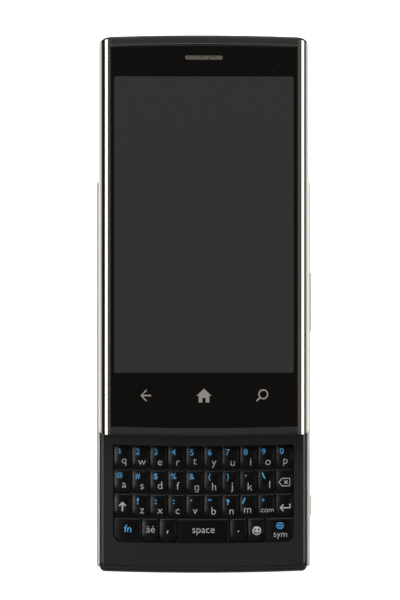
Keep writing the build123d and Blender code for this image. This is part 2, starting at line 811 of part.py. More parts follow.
def main_board():
    """The main board with its shield cans and the switches of the upper buttons."""
    half = cavity_width / 2 - board_margin
    lower = keyboard_upper + end_drop(keyboard_width / 2) + keypad_board_margin + board_gap
    upper = cavity_end - end_drop(half) - board_margin
    board = box(-half, half, lower, upper, board_bottom, board_top)
    board -= camera_opening(board_bottom - overrun, board_top + overrun)
    for cut in socket_openings() + all_button_openings():
        board -= cut
    solids = [board]
    inner = ribbon_width / 2 + ribbon_slot_margin + shield_gap
    outer = half - shield_margin
    shield_upper = jack_mouth() - jack_bore_depth - jack_back - shield_from_jack
    for low, high in ((-outer, -inner), (inner, outer)):
        can = box(low, high, shield_upper - shield_width, shield_upper, board_top, board_top + shield_height)
        solids.append(can)
    press = (rocker_length * button_flange_share - switch_width) / 2
    solids += [rocker_place * switch(-press), rocker_place * switch(press), power_place * switch(0)]
    return solids


def battery():
    """The flat battery under the shelf."""
    outline = Pos(0, battery_y) * RectangleRounded(battery_width, battery_length, battery_corner)
    return prism(outline, cover_floor + fit, shelf_bottom - fit)


def camera_module():
    """The camera: body and barrel, the ring and window in the back cover, and the flash beside it."""
    half = camera_body / 2
    flange_top_z = cover_floor + camera_flange_height
    body_top = deck_bottom - camera_headroom
    body = box(-half, half, camera_y - half, camera_y + half, flange_top_z, body_top)
    window_top = back_recess + camera_window_thickness
    barrel = rod(0, camera_y, window_top, flange_top_z, camera_barrel_radius)
    ring = rod(0, camera_y, back_recess, cover_floor, camera_ring_radius)
    ring += rod(0, camera_y, cover_floor, flange_top_z, camera_ring_radius + camera_ring_flange)
    ring -= rod(0, camera_y, -overrun, flange_top_z + overrun, camera_window_radius)
    window = rod(0, camera_y, back_recess, window_top, camera_window_radius - fit)
    flash = rod(flash_from_camera, camera_y, back_recess, cover_floor, flash_radius)
    flash += rod(flash_from_camera, camera_y, cover_floor, flange_top_z, flash_radius + camera_ring_flange)
    return [body + barrel, ring, window, flash]


def loudspeaker():
    """The loudspeaker box behind the grille in the back cover."""
    outline = Pos(speaker_x, speaker_y) * Rectangle(speaker_length, speaker_width)
    return prism(outline, cover_floor + speaker_gap, shelf_bottom - fit)


def write(name, shape, place=None):
    """Writes one node's solids to its file."""
    solids = [solid for item in (shape if isinstance(shape, list) else [shape]) for solid in item.solids()]
    node = solids[0] if len(solids) == 1 else Compound(solids)
    export_step(place * node if place else node, os.path.join("parts", name + ".step"))


def main():
    os.makedirs("parts", exist_ok=True)
    for piece in (slab_frame, slab_rails, front_glass, display_panel, earpiece, slide_plate, plate_screws):
        write(piece.__name__, piece(), slab_place)
    shells = (mid_frame, back_cover, base_rims, key_deck, guide_carriage)
    insides = (keypad_board, main_board, battery, camera_module, loudspeaker, flex_ribbon)
    sockets_and_buttons = (headphone_jack, usb_socket, volume_rocker, camera_key, power_key)
    for piece in shells + insides + sockets_and_buttons:
        write(piece.__name__, piece())
    for name, row, start, stop in key_layout():
        write(name, key_cap(name, row, start, stop))


main()
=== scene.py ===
import math

import bmesh
import bpy
from mathutils import Matrix, Vector
from mathutils.bvhtree import BVHTree


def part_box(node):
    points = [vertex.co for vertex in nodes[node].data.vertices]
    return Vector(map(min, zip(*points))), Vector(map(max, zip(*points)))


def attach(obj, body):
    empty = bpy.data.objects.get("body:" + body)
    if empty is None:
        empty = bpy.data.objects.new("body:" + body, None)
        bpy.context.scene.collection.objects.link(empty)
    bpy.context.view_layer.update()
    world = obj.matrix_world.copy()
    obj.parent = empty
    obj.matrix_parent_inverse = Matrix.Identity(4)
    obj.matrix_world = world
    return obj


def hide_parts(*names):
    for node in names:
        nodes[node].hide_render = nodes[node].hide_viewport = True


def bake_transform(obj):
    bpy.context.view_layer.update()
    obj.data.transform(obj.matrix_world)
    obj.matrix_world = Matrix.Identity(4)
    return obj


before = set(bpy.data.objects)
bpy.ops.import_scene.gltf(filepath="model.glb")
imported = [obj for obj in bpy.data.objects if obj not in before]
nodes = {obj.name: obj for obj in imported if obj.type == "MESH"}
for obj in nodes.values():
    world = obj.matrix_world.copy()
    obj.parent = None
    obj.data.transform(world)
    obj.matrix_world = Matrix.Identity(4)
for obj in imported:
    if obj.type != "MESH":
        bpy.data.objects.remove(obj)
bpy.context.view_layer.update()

# A portrait sliding phone, slid open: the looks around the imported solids
MM = 0.001
MICRON = 1e-6
scene = bpy.context.scene

# Places read from the solids
glass_low, glass_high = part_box("front_glass")
rails_low, rails_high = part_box("slab_rails")
module_low, module_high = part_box("camera_module")
base_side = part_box("base_rims")[1].x

# The bow of the phone's ends
END_RISE = 0.65 * MM

# Display window: how far its edges lie inside the glass's edges
WINDOW_SIDE = 1.2 * MM
WINDOW_TOP = 9.45 * MM
WINDOW_BOTTOM = 16.65 * MM
WINDOW_CORNER = 0.5 * MM

# Edges that turn by more than this are softened, in so many steps
SHARP_TURN = math.radians(40)
EDGE_STEPS = 2

# Chrome rails: the roll-over's reach across and down, the softened edges and the angle shaded smooth
RAIL_WIDTH = 3.45 * MM
RAIL_ROLL_ACROSS = 3.2 * MM
RAIL_ROLL_DOWN = 2.2 * MM
RAIL_ROLL_STEPS = 32
RAIL_EDGE = 0.15 * MM
RAIL_SMOOTH = 15
# Upper (1) and lower (-1) corners: reach across and along, and how far they stop short of the end
RAIL_CORNERS = {1: (3.45 * MM, 2.9 * MM, 0.17 * MM), -1: (2.4 * MM, 1.5 * MM, 0)}
RAIL_CORNER_CUTS = 12
# Black plastic on the upper ends, a painted dark reflection on the chrome: how deep it reaches, and how far
# round the corner it starts
RAIL_PAINTED_REFLECTION_DEPTH = 0.57 * MM
RAIL_PAINTED_REFLECTION_START = 0.65

# A near-black strip that paints the shade of the gap at the glass's edge, and the trim, in the step between
# the upper end strip and the glass
SHADE_STRIP_WIDTH = 0.2 * MM
SHADE_STRIP_HEIGHT = 0.02 * MM
TRIM_WIDTH = 0.3 * MM
TRIM_HEIGHT = 0.1 * MM
LIP_STEPS = 32
LIP_EDGE_SHARE = 0.6
LIP_SMOOTH = 30

# Camera in the back: the ring, the pane in it, the barrel's steps, the front lens and the flash
CAMERA_FLANGE = 5.4 * MM
RING_OUTER = 4.5 * MM
RING_INNER = 3.6 * MM
RING_BACK = 1.5 * MM
RING_RECESS = 0.15 * MM
RING_EDGE = 0.2 * MM
PANE_RADIUS = 3.55 * MM
PANE_FRONT = 0.3 * MM
PANE_THICKNESS = 0.5 * MM
BARREL_STEPS = 4
BARREL_MOUTH = 3.5 * MM
BARREL_THROAT = 1.5 * MM
BARREL_DEPTH = 1.5 * MM
LENS_RADIUS = 1.6 * MM
LENS_RISE = 0.45 * MM
LENS_STEPS = 12
FLASH_FROM_CAMERA = 9.5 * MM
FLASH_RADIUS = 1.45 * MM
FLASH_RIDGES = 4
FLASH_RIDGE_DEPTH = 0.12 * MM
ROUND_STEPS = 64
RING_SMOOTH = 35
LENS_SMOOTH = 30
RIDGE_SMOOTH = 20

# Printed touch marks: height of their row above the glass's lower end, spacing and line width
TOUCH_ROW = 9.75 * MM
TOUCH_SPACING = 17.55 * MM
TOUCH_LINE = 0.45 * MM
# Their lines and outlines, in millimetres about their middles
BACK_ARROW = [[(1.6, 0), (-1.3, 0)], [(0.2, 1.65), (-1.4, 0), (0.2, -1.65)]]
HOUSE = [
    (-2.3, -0.1), (0, 2.1), (2.3, -0.1), (1.6, -0.1), (1.6, -2.1), (0.5, -2.1), (0.5, -0.7),
    (-0.5, -0.7), (-0.5, -2.1), (-1.6, -2.1), (-1.6, -0.1),
]
MAGNIFIER_RADIUS = 1.32 * MM
MAGNIFIER_MIDDLE = 0.35 * MM
MAGNIFIER_HANDLE = [[(-0.6, -0.6), (-1.75, -1.75)]]

# Inks on the keys, by number
GREY, BLUE = 0, 1
# Ink's height over the surface and depth into it, its longest edge, and how often edges may be halved
INK_PROUD = 12 * MICRON
INK_SUNK = 25 * MICRON
INK_STEP = 0.45 * MM
INK_HALVINGS = 8

# Key lettering: sizes, and places from the middle of a key. A weight thickens text of size 1.
LETTER_X_HEIGHT = 1.5 * MM
LETTER_MIDDLE = 0.48 * MM
LETTER_BASELINE = -2.25 * MM
SYMBOL_HEIGHT = 1.8 * MM
SYMBOL_MIDDLE = -0.82 * MM
SYMBOL_BASELINE = 0.95 * MM
SYMBOL_STROKE = 0.34 * MM
BOLD_STROKE = 0.42 * MM
BOLD_SYMBOLS = "!?\":;'"
WORD_X_HEIGHT = 1.42 * MM
SMALL_WORD_X_HEIGHT = 1.25 * MM
WORD_BASELINE = -0.65 * MM
DOMAIN_X_HEIGHT = 1.05 * MM
DOMAIN_MIDDLE = 0.05 * MM
DOMAIN_LIFT = 0.3 * MM
FN_MIDDLE = 0.11 * MM
ACCENT_MIDDLE = 0.15 * MM
SPACE_MIDDLE = 0.12 * MM
PERIOD_SHARE = 1.5
PERIOD_BASELINE = -0.45 * MM
SYM_MIDDLE = 0.3 * MM
SYM_BASELINE = -2.2 * MM
AT_SHARE = 0.72
AT_LIFT = 0.42 * MM
STAR_SHARE = 0.78
STAR_MIDDLE = -1.0 * MM
STAR_DROP = 0.18 * MM
LETTER_WEIGHT = -0.006
SYMBOL_WEIGHT = -0.004
DIGIT_WEIGHT = 0.014
# The g with one loop, and its height at text size 1
OPEN_G = "\u0261"
OPEN_G_HEIGHT = 0.55

# Key lettering: symbols over the letters
SYMBOL_ROWS = {"qwertyuiop": "1234567890", "asdfghjkl": "@#$%&()-\\", "zxcvbnm": "!;:'\"?/"}
# Where the letters' print is out of line, in millimetres to the right and up
LETTER_NUDGES = {
    "q": (0, 0.3), "t": (-0.35, 0.36), "u": (0.18, -0.1), "i": (0.18, 0), "p": (-0.18, 0.2), "a": (0, 0.33),
    "d": (0, 0.18), "g": (0.18, -0.15), "h": (0, -0.17), "k": (0, -0.21), "l": (0.52, 0.22), "c": (-0.15, 0),
    "v": (-0.28, 0), "b": (-0.12, -0.15), "n": (-0.15, -0.15), "m": (-0.75, 0.18),
}

# Symbols drawn as strokes, in millimetres about the middle of a symbol
DRAWN_SYMBOLS = {
    "1": [[(-0.36, 0.45), (0.03, 0.73), (0.03, -0.52)], [(-0.38, -0.52), (0.42, -0.52)]],
    "-": [[(-0.28, 0.11), (0.28, 0.11)]],
    '"': [[(-0.28, 0.31), (-0.28, -0.04)], [(0.28, 0.31), (0.28, -0.04)]],
    "!": [[(0, 0.6), (0, -0.6)], [(0, -0.95), (0, -1.3)]],
    "?": [[(-0.36, -0.06), (-0.1, 0.12), (0.24, 0.04), (0.32, -0.26), (0.02, -0.55), (0, -0.72)],
          [(0, -0.97), (0, -1.3)]],
    ":": [[(0, 0.17), (0, -0.17)], [(0, -0.73), (0, -1.07)]],
    ";": [[(0, 0.17), (0, -0.17)], [(0.06, -0.72), (-0.1, -1.2)]],
    "'": [[(-0.16, 0.24), (-0.16, -0.16)]],
    "/": [[(-1.05, -1.11), (-0.17, 0.69)]],
    "\\": [[(-0.45, 0.84), (0.35, -0.96)]],
}

# Signs on the other keys, in millimetres about the middle of a key, and their line widths
COMMA = [[(0.08, 0.1), (-0.28, -0.78)]]
SHIFT_ARROW = [[(0, -1.75), (0, 1.0)], [(-1.0, -0.1), (0, 0.95), (1.0, -0.1)]]
SHIFT_LINE = 0.5 * MM
ENTER_ARROW = [
    [(1.65, 0.47), (1.65, -0.73), (-1.2, -0.73)],
    [(-0.3, 0.27), (-1.25, -0.73), (-0.3, -1.73)],
]
ENTER_LINE = 0.42 * MM
BACKSPACE_TAG = [(-1.65, -0.29), (-0.75, 0.86), (1.6, 0.86), (1.6, -1.44), (-0.75, -1.44)]
BACKSPACE_CROSS = [[(-0.05, -0.79), (0.95, 0.21)], [(-0.05, 0.21), (0.95, -0.79)]]
BACKSPACE_LINE = 0.28 * MM
# Globe: its radii, its meridian's share of the width, and the lines across by height and line width
GLOBE_MIDDLE = (0.2 * MM, 1.26 * MM)
GLOBE_RADII = (1.1 * MM, 1.0 * MM)
GLOBE_LINE = 0.12 * MM
MERIDIAN_SHARE = 0.4
MERIDIAN_LINE = 0.1 * MM
GLOBE_LEVELS = {-0.6: 0.12 * MM, 0: 0.26 * MM, 0.6: 0.12 * MM}
# Smile: the disc, the mouth's outer and inner radii and its span in degrees, and the eyes
SMILE_MIDDLE = (0.12 * MM, -0.09 * MM)
SMILE_RADIUS = 1.34 * MM
SMILE_STEPS = 48
MOUTH_OUTER = (0.98 * MM, 0.98 * MM)
MOUTH_INNER = (0.66 * MM, 0.64 * MM)
MOUTH_SPAN = (195, 345)
EYE_SPREAD = 0.56 * MM
EYE_LIFT = 0.38 * MM
EYE_RADII = (0.26 * MM, 0.3 * MM)
EYE_STEPS = 16

# Photograph's view: camera height over the glass, the point aimed at, the camera's lean, and its lens
VIEW_DISTANCE = 1.0
VIEW_AIM = Vector((-1.21 * MM, 22.56 * MM, glass_high.z))
VIEW_LEAN = -23 * MM
VIEW_LENS = 198.85
SENSOR = 36
NEAREST_SEEN = 0.01

# Table: its reach from the middle, its gap below the back, so that no plane is shared, its colour and glow
TABLE_REACH = 6
TABLE_GAP = 0.1 * MM
TABLE_TONE = "#eeeeee"
TABLE_GLOW = 0.82

# Studio walls: their light by the rise of the line of sight, from the floor to the ceiling
STUDIO_TONES = [
    (0.32, (0.9, 0.9, 0.9, 1)),
    (0.42, (0.02, 0.019, 0.018, 1)),
    (0.86, (0.02, 0.019, 0.018, 1)),
    (0.95, (0.14, 0.128, 0.115, 1)),
]
# Soft lights: the side each stands on, its two edges in degrees from straight up, its length and its strength
LAMP_DISTANCE = 1.6
WATTS_FOR_STRENGTH = 4
SOFTBOXES = {
    "left_softbox": ((-1, 0.05), 15.5, 33, 1.05, 3.3),
    "right_softbox": ((1, 0), 26.5, 48, 0.7, 2.6),
    "far_softbox": ((0, 1), 34, 66, 1.3, 4.2),
    "near_softbox": ((0, -1), 14, 44, 1.0, 0.14),
}

# Dust: its tone, its spacing, and the shares of that at which a speck starts to fade and ends
DUST_TONE = "#8f8a84"
DUST_SPACING = 2.6 * MM
SPECK_CORE = 0.015
SPECK_EDGE = 0.05
GLASS_DUST = 0.35
GLASS_DUST_SPACING = 5 * MM
GLASS_SPECK_CORE = 0.012
GLASS_SPECK_EDGE = 0.026

# Real sizes of the patterns in the finishes, and how far the shine varies
TONE_CLOUD = 14 * MM
GRAIN_GLOSS = (0.85, 1.15)
BRUSH_STRETCH = 0.02
POLISH_HAZE = 9 * MM
POLISH_GLOSS = (0.7, 1.3)
SCREEN_GRAIN = 0.35 * MM
GLASS_SMEAR = 11 * MM
LACQUER_PEEL = 0.6 * MM
LACQUER_CLOUD = 3 * MM
PEEL_DEPTH = 3 * MICRON
LINT_PITCHES = 1.6
WIRE_DEPTH = 40 * MICRON
INK_PATCH = 0.4 * MM
TRACK_PITCH = 2.4 * MM
TRACK_HEIGHT = 30 * MICRON
CREASE_SIZE = 6 * MM
CREASE_DEPTH = 50 * MICRON
RUB_SIZE = 1.5 * MM
RUB_DULLS = 0.06


def colour(code):
    """An sRGB hex colour as linear RGBA."""
    channels = [int(code[i:i + 2], 16) / 255 for i in (1, 3, 5)]
    linear = [c / 12.92 if c <= 0.04045 else ((c + 0.055) / 1.055) ** 2.4 for c in channels]
    return (*linear, 1)


def add(tree, kind, inputs=None, **settings):
    """Adds a node, with its settings, and its inputs set to values or linked to sockets."""
    node = tree.nodes.new(kind)
    for name, value in settings.items():
        setattr(node, name, value)
    for name, value in (inputs or {}).items():
        if isinstance(value, bpy.types.NodeSocket):
            tree.links.new(value, node.inputs[name])
        else:
            node.inputs[name].default_value = value
    return node


def blank_material(name):
    """A material with no nodes, and its tree."""
    made = bpy.data.materials.new(name)
    made.use_nodes = True
    made.node_tree.nodes.clear()
    return made, made.node_tree


def close(tree, shader):
    """Links a shader to the material's output."""
    add(tree, "ShaderNodeOutputMaterial", {"Surface": shader.outputs[0]})


def moulded_plastic(name, dark, pale, roughness, texture, depth, dust=0.0, shine=0.25):
    """Moulded plastic: a fine eroded texture breaks the shine, the tone varies and dust lies on it."""
    made, tree = blank_material(name)
    place = add(tree, "ShaderNodeTexCoord").outputs["Object"]
    grain = add(tree, "ShaderNodeTexNoise", {"Vector": place, "Scale": 1 / texture, "Detail": 2})
    cloud = add(tree, "ShaderNodeTexNoise", {"Vector": place, "Scale": 1 / TONE_CLOUD, "Detail": 3})
    tint = add(tree, "ShaderNodeMix", {
        "Factor": cloud.outputs["Fac"], "A": colour(dark), "B": colour(pale),
    }, data_type="RGBA")
    fleck = add(tree, "ShaderNodeTexVoronoi", {"Vector": place, "Scale": 1 / DUST_SPACING, "Randomness": 1})
    near = add(tree, "ShaderNodeMapRange", {
        "Value": fleck.outputs["Distance"], "From Min": SPECK_CORE, "From Max": SPECK_EDGE,
        "To Min": dust, "To Max": 0,
    })
    dusty = add(tree, "ShaderNodeMix", {
        "Factor": near.outputs[0], "A": tint.outputs[2], "B": colour(DUST_TONE),
    }, data_type="RGBA")
    smooth, rough = GRAIN_GLOSS
    gloss = add(tree, "ShaderNodeMapRange", {
        "Value": grain.outputs["Fac"], "To Min": roughness * smooth, "To Max": roughness * rough,
    })
    bump = add(tree, "ShaderNodeBump", {"Height": grain.outputs["Fac"], "Strength": 0.5, "Distance": depth})
    skin = add(tree, "ShaderNodeBsdfPrincipled", {
        "Base Color": dusty.outputs[2], "Roughness": gloss.outputs[0], "Normal": bump.outputs[0],
        "IOR": 1.49, "Specular IOR Level": shine,
    })
    close(tree, skin)
    return made


def plated_metal(name, tone, roughness, brush, depth, spread=0.0):
    """Plated or brushed metal: fine lines along the phone catch the light, and the polish is uneven."""
    made, tree = blank_material(name)
    place = add(tree, "ShaderNodeTexCoord").outputs["Object"]
    along = add(tree, "ShaderNodeMapping", {"Vector": place, "Scale": (1, BRUSH_STRETCH, 1)}).outputs[0]
    lines = add(tree, "ShaderNodeTexNoise", {"Vector": along, "Scale": 1 / brush, "Detail": 3})
    haze = add(tree, "ShaderNodeTexNoise", {"Vector": place, "Scale": 1 / POLISH_HAZE, "Detail": 2})
    smooth, rough = POLISH_GLOSS
    gloss = add(tree, "ShaderNodeMapRange", {
        "Value": haze.outputs["Fac"], "To Min": roughness * smooth, "To Max": roughness * rough,
    })
    pale = add(tree, "ShaderNodeMapRange", {"Value": lines.outputs["Fac"], "To Min": 1 - spread, "To Max": 1})
    tint = add(tree, "ShaderNodeMix", {
        "Factor": pale.outputs[0], "A": (0, 0, 0, 1), "B": colour(tone),
    }, data_type="RGBA")
    bump = add(tree, "ShaderNodeBump", {"Height": lines.outputs["Fac"], "Strength": 0.4, "Distance": depth})
    skin = add(tree, "ShaderNodeBsdfPrincipled", {
        "Base Color": tint.outputs[2], "Roughness": gloss.outputs[0], "Normal": bump.outputs[0],
        "Metallic": 1,
    })
    close(tree, skin)
    return made


def display_window(tree, place):
    """1 inside the display window, which has rounded corners, and 0 outside it."""
    window_low = Vector((glass_low.x + WINDOW_SIDE, glass_low.y + WINDOW_BOTTOM, 0))
    window_high = Vector((glass_high.x - WINDOW_SIDE, glass_high.y - WINDOW_TOP, 0))
    middle = (window_low + window_high) / 2
    reach = (window_high - window_low) / 2 - Vector((WINDOW_CORNER, WINDOW_CORNER, 0))
    centred = add(tree, "ShaderNodeVectorMath", {0: place, 1: middle}, operation="SUBTRACT")
    folded = add(tree, "ShaderNodeVectorMath", {0: centred.outputs[0]}, operation="ABSOLUTE")
    past = add(tree, "ShaderNodeVectorMath", {0: folded.outputs[0], 1: reach}, operation="SUBTRACT")
    outside = add(tree, "ShaderNodeVectorMath", {0: past.outputs[0], 1: (0, 0, 0)}, operation="MAXIMUM")
    flat = add(tree, "ShaderNodeVectorMath", {0: outside.outputs[0], 1: (1, 1, 0)}, operation="MULTIPLY")
    far = add(tree, "ShaderNodeVectorMath", {0: flat.outputs[0]}, operation="LENGTH")
    return add(tree, "ShaderNodeMapRange", {
        "Value": far.outputs["Value"], "From Min": WINDOW_CORNER * 1.05, "From Max": WINDOW_CORNER * 0.95,
    }).outputs[0]


def printed_cover_glass(name):
    """Toughened glass printed black from behind, all but the window. Smears and dust show in its shine."""
    made, tree = blank_material(name)
    place = add(tree, "ShaderNodeTexCoord").outputs["Object"]
    window = display_window(tree, place)
    grain = add(tree, "ShaderNodeTexNoise", {"Vector": place, "Scale": 1 / SCREEN_GRAIN, "Detail": 2})
    screen = add(tree, "ShaderNodeMix", {
        "Factor": grain.outputs["Fac"], "A": colour("#2e2e2e"), "B": colour("#313131"),
    }, data_type="RGBA")
    print_ink = add(tree, "ShaderNodeMix", {
        "Factor": window, "A": colour("#030303"), "B": screen.outputs[2],
    }, data_type="RGBA")
    fleck = add(tree, "ShaderNodeTexVoronoi", {
        "Vector": place, "Scale": 1 / GLASS_DUST_SPACING, "Randomness": 1,
    })
    near = add(tree, "ShaderNodeMapRange", {
        "Value": fleck.outputs["Distance"], "From Min": GLASS_SPECK_CORE, "From Max": GLASS_SPECK_EDGE,
        "To Min": GLASS_DUST, "To Max": 0,
    })
    dusty = add(tree, "ShaderNodeMix", {
        "Factor": near.outputs[0], "A": print_ink.outputs[2], "B": colour(DUST_TONE),
    }, data_type="RGBA")
    smear = add(tree, "ShaderNodeTexNoise", {
        "Vector": place, "Scale": 1 / GLASS_SMEAR, "Detail": 4, "Distortion": 1,
    })
    gloss = add(tree, "ShaderNodeMapRange", {
        "Value": smear.outputs["Fac"], "From Min": 0.45, "From Max": 0.8, "To Min": 0.03, "To Max": 0.09,
    })
    skin = add(tree, "ShaderNodeBsdfPrincipled", {
        "Base Color": dusty.outputs[2], "Roughness": gloss.outputs[0], "IOR": 1.46,
    })
    close(tree, skin)
    return made


def gloss_key_cap(name):
    """Polycarbonate key caps under a hard lacquer: near-black, glossy, with a slight orange peel."""
    made, tree = blank_material(name)
    place = add(tree, "ShaderNodeTexCoord").outputs["Object"]
    peel = add(tree, "ShaderNodeTexNoise", {"Vector": place, "Scale": 1 / LACQUER_PEEL, "Detail": 1})
    cloud = add(tree, "ShaderNodeTexNoise", {"Vector": place, "Scale": 1 / LACQUER_CLOUD, "Detail": 3})
    tint = add(tree, "ShaderNodeMix", {
        "Factor": cloud.outputs["Fac"], "A": colour("#010101"), "B": colour("#030303"),
    }, data_type="RGBA")
    gloss = add(tree, "ShaderNodeMapRange", {"Value": cloud.outputs["Fac"], "To Min": 0.19, "To Max": 0.23})
    bump = add(tree, "ShaderNodeBump", {
        "Height": peel.outputs["Fac"], "Strength": 0.15, "Distance": PEEL_DEPTH,
    })
    skin = add(tree, "ShaderNodeBsdfPrincipled", {
        "Base Color": tint.outputs[2], "Roughness": gloss.outputs[0], "Normal": bump.outputs[0], "IOR": 1.36,
    })
    close(tree, skin)
    return made


def woven_mesh(name, wire, hole, pitch):
    """Acoustic mesh: fine wires cross over dark holes. Drawn coarser than real, so that it shows."""
    made, tree = blank_material(name)
    place = add(tree, "ShaderNodeTexCoord").outputs["Object"]
    skewed = add(tree, "ShaderNodeMapping", {"Vector": place, "Rotation": (0, 0, math.radians(45))})
    # A wave of scale 1 repeats every pi / 10
    wires = {"Vector": skewed.outputs[0], "Scale": math.pi / (10 * pitch)}
    across = add(tree, "ShaderNodeTexWave", wires, bands_direction="X")
    along = add(tree, "ShaderNodeTexWave", wires, bands_direction="Y")
    weave = add(tree, "ShaderNodeMath", {
        0: across.outputs["Fac"], 1: along.outputs["Fac"],
    }, operation="MAXIMUM")
    lint_size = LINT_PITCHES * pitch
    lint = add(tree, "ShaderNodeTexNoise", {"Vector": place, "Scale": 1 / lint_size, "Detail": 3})
    clean = add(tree, "ShaderNodeMapRange", {
        "Value": lint.outputs["Fac"], "From Min": 0.35, "From Max": 0.65, "To Min": 0.35, "To Max": 1,
    })
    shown = add(tree, "ShaderNodeMath", {0: weave.outputs[0], 1: clean.outputs[0]}, operation="MULTIPLY")
    tint = add(tree, "ShaderNodeMix", {
        "Factor": shown.outputs[0], "A": colour(hole), "B": colour(wire),
    }, data_type="RGBA")
    bump = add(tree, "ShaderNodeBump", {"Height": weave.outputs[0], "Strength": 0.7, "Distance": WIRE_DEPTH})
    skin = add(tree, "ShaderNodeBsdfPrincipled", {
        "Base Color": tint.outputs[2], "Roughness": 0.45, "Normal": bump.outputs[0], "Metallic": 0.6,
    })
    close(tree, skin)
    return made


def printed_ink(name, tone, thin):
    """Pad-printed ink: matt, a little thinner in places."""
    made, tree = blank_material(name)
    place = add(tree, "ShaderNodeTexCoord").outputs["Object"]
    cover = add(tree, "ShaderNodeTexNoise", {"Vector": place, "Scale": 1 / INK_PATCH, "Detail": 2})
    tint = add(tree, "ShaderNodeMix", {
        "Factor": cover.outputs["Fac"], "A": colour(thin), "B": colour(tone),
    }, data_type="RGBA")
    skin = add(tree, "ShaderNodeBsdfPrincipled", {
        "Base Color": tint.outputs[2], "Roughness": 0.5, "IOR": 1.5,
    })
    close(tree, skin)
    return made


def solder_mask(name, mask, track):
    """Circuit board: tinted solder mask over copper tracks, which show as paler, raised lines."""
    made, tree = blank_material(name)
    place = add(tree, "ShaderNodeTexCoord").outputs["Object"]
    blocks = add(tree, "ShaderNodeTexBrick", {
        "Vector": place, "Scale": 1 / TRACK_PITCH, "Mortar Size": 0.06,
        "Color1": (0, 0, 0, 1), "Color2": (0, 0, 0, 1), "Mortar": (1, 1, 1, 1),
    })
    tint = add(tree, "ShaderNodeMix", {
        "Factor": blocks.outputs["Color"], "A": colour(mask), "B": colour(track),
    }, data_type="RGBA")
    bump = add(tree, "ShaderNodeBump", {
        "Height": blocks.outputs["Color"], "Strength": 0.5, "Distance": TRACK_HEIGHT,
    })
    skin = add(tree, "ShaderNodeBsdfPrincipled", {
        "Base Color": tint.outputs[2], "Roughness": 0.4, "Normal": bump.outputs[0], "IOR": 1.5,
    })
    close(tree, skin)
    return made


def thin_film(name, tone, pale, roughness):
    """Plastic film, smooth with faint creases."""
    made, tree = blank_material(name)
    place = add(tree, "ShaderNodeTexCoord").outputs["Object"]
    crease = add(tree, "ShaderNodeTexNoise", {
        "Vector": place, "Scale": 1 / CREASE_SIZE, "Detail": 3, "Distortion": 2,
    })
    tint = add(tree, "ShaderNodeMix", {
        "Factor": crease.outputs["Fac"], "A": colour(tone), "B": colour(pale),
    }, data_type="RGBA")
    bump = add(tree, "ShaderNodeBump", {
        "Height": crease.outputs["Fac"], "Strength": 0.3, "Distance": CREASE_DEPTH,
    })
    skin = add(tree, "ShaderNodeBsdfPrincipled", {
        "Base Color": tint.outputs[2], "Roughness": roughness, "Normal": bump.outputs[0], "IOR": 1.6,
    })
    close(tree, skin)
    return made


def clear_optic(name, tone, roughness):
    """Clear moulded window or lens, with faint rub marks in its shine."""
    made, tree = blank_material(name)
    place = add(tree, "ShaderNodeTexCoord").outputs["Object"]
    rub = add(tree, "ShaderNodeTexNoise", {"Vector": place, "Scale": 1 / RUB_SIZE, "Detail": 4})
    gloss = add(tree, "ShaderNodeMapRange", {
        "Value": rub.outputs["Fac"], "From Min": 0.45, "From Max": 0.8,
        "To Min": roughness, "To Max": roughness + RUB_DULLS,
    })
    skin = add(tree, "ShaderNodeBsdfPrincipled", {
        "Base Color": colour(tone), "Roughness": gloss.outputs[0], "IOR": 1.5, "Transmission Weight": 1,
    })
    close(tree, skin)
    return made


def coated_lens(name):
    """Front lens with an anti-reflection coating, which tints its shine from violet to green."""
    made, tree = blank_material(name)
    edge = add(tree, "ShaderNodeLayerWeight", {"Blend": 0.35}).outputs["Facing"]
    sheen = add(tree, "ShaderNodeMix", {
        "Factor": edge, "A": colour("#3a2a66"), "B": colour("#1d4a3c"),
    }, data_type="RGBA")
    skin = add(tree, "ShaderNodeBsdfPrincipled", {
        "Base Color": colour("#050507"), "Roughness": 0.04, "IOR": 1.6,
        "Specular Tint": sheen.outputs[2], "Coat Weight": 0.4,
    })
    close(tree, skin)
    return made


# Satin PC-ABS with a fine eroded texture, for the frame, the base and the deck
satin_frame = moulded_plastic("pc_abs_satin_frame", "#1f1f1f", "#232323", 0.45, 0.16 * MM, 8 * MICRON, 0.25)
satin_base = moulded_plastic("pc_abs_satin_base", "#1a1a1a", "#1d1d1d", 0.4, 0.16 * MM, 8 * MICRON, 0.2)
satin_deck = moulded_plastic("pc_abs_satin_deck", "#1d1d1d", "#202020", 0.25, 0.14 * MM, 3 * MICRON, 0.3, 0.4)
# Soft-touch paint over PC-ABS: deep matt, slightly pebbled
soft_touch_back = moulded_plastic("soft_touch_paint_back", "#1b1b1c", "#202021", 0.62, 0.3 * MM, 25 * MICRON)
# Black nylon, for the headphone socket, and for the barrel round the lens; also laid on the chrome rails'
# upper ends as a painted dark reflection
black_nylon = moulded_plastic("black_nylon", "#0c0c0c", "#121212", 0.5, 0.25 * MM, 12 * MICRON)
# Near-black matt finish for the strip at the glass's upper edge: painted shade of the gap there
painted_shade_finish = moulded_plastic("painted_shade_black", "#020202", "#040404", 0.75, 0.2 * MM, 8 * MICRON,
                              shine=0.1)
# Bright chrome plate, nearly a mirror, and the satin of the inlaid trim
chrome_plate = plated_metal("chrome_plate", "#bab7b2", 0.05, 0.25 * MM, 0.05 * MICRON)
satin_chrome = plated_metal("satin_chrome_trim", "#56534e", 0.3, 0.2 * MM, 1 * MICRON)
# Satin anodised aluminium, for the rims and the side keys
satin_aluminium = plated_metal("satin_anodised_aluminium", "#c0bab2", 0.42, 0.12 * MM, 0.5 * MICRON, 0.06)
# Brushed stainless steel, for the slide, and nickel plate for the charging socket
brushed_steel = plated_metal("brushed_stainless_steel", "#b4b2ae", 0.3, 0.1 * MM, 3 * MICRON, 0.15)
nickel_plate = plated_metal("nickel_plate", "#bdb8ae", 0.2, 0.2 * MM, 1 * MICRON, 0.05)
# Black-oxide steel, for the screws
black_oxide = plated_metal("black_oxide_steel", "#3a3a3b", 0.35, 0.15 * MM, 2 * MICRON, 0.2)
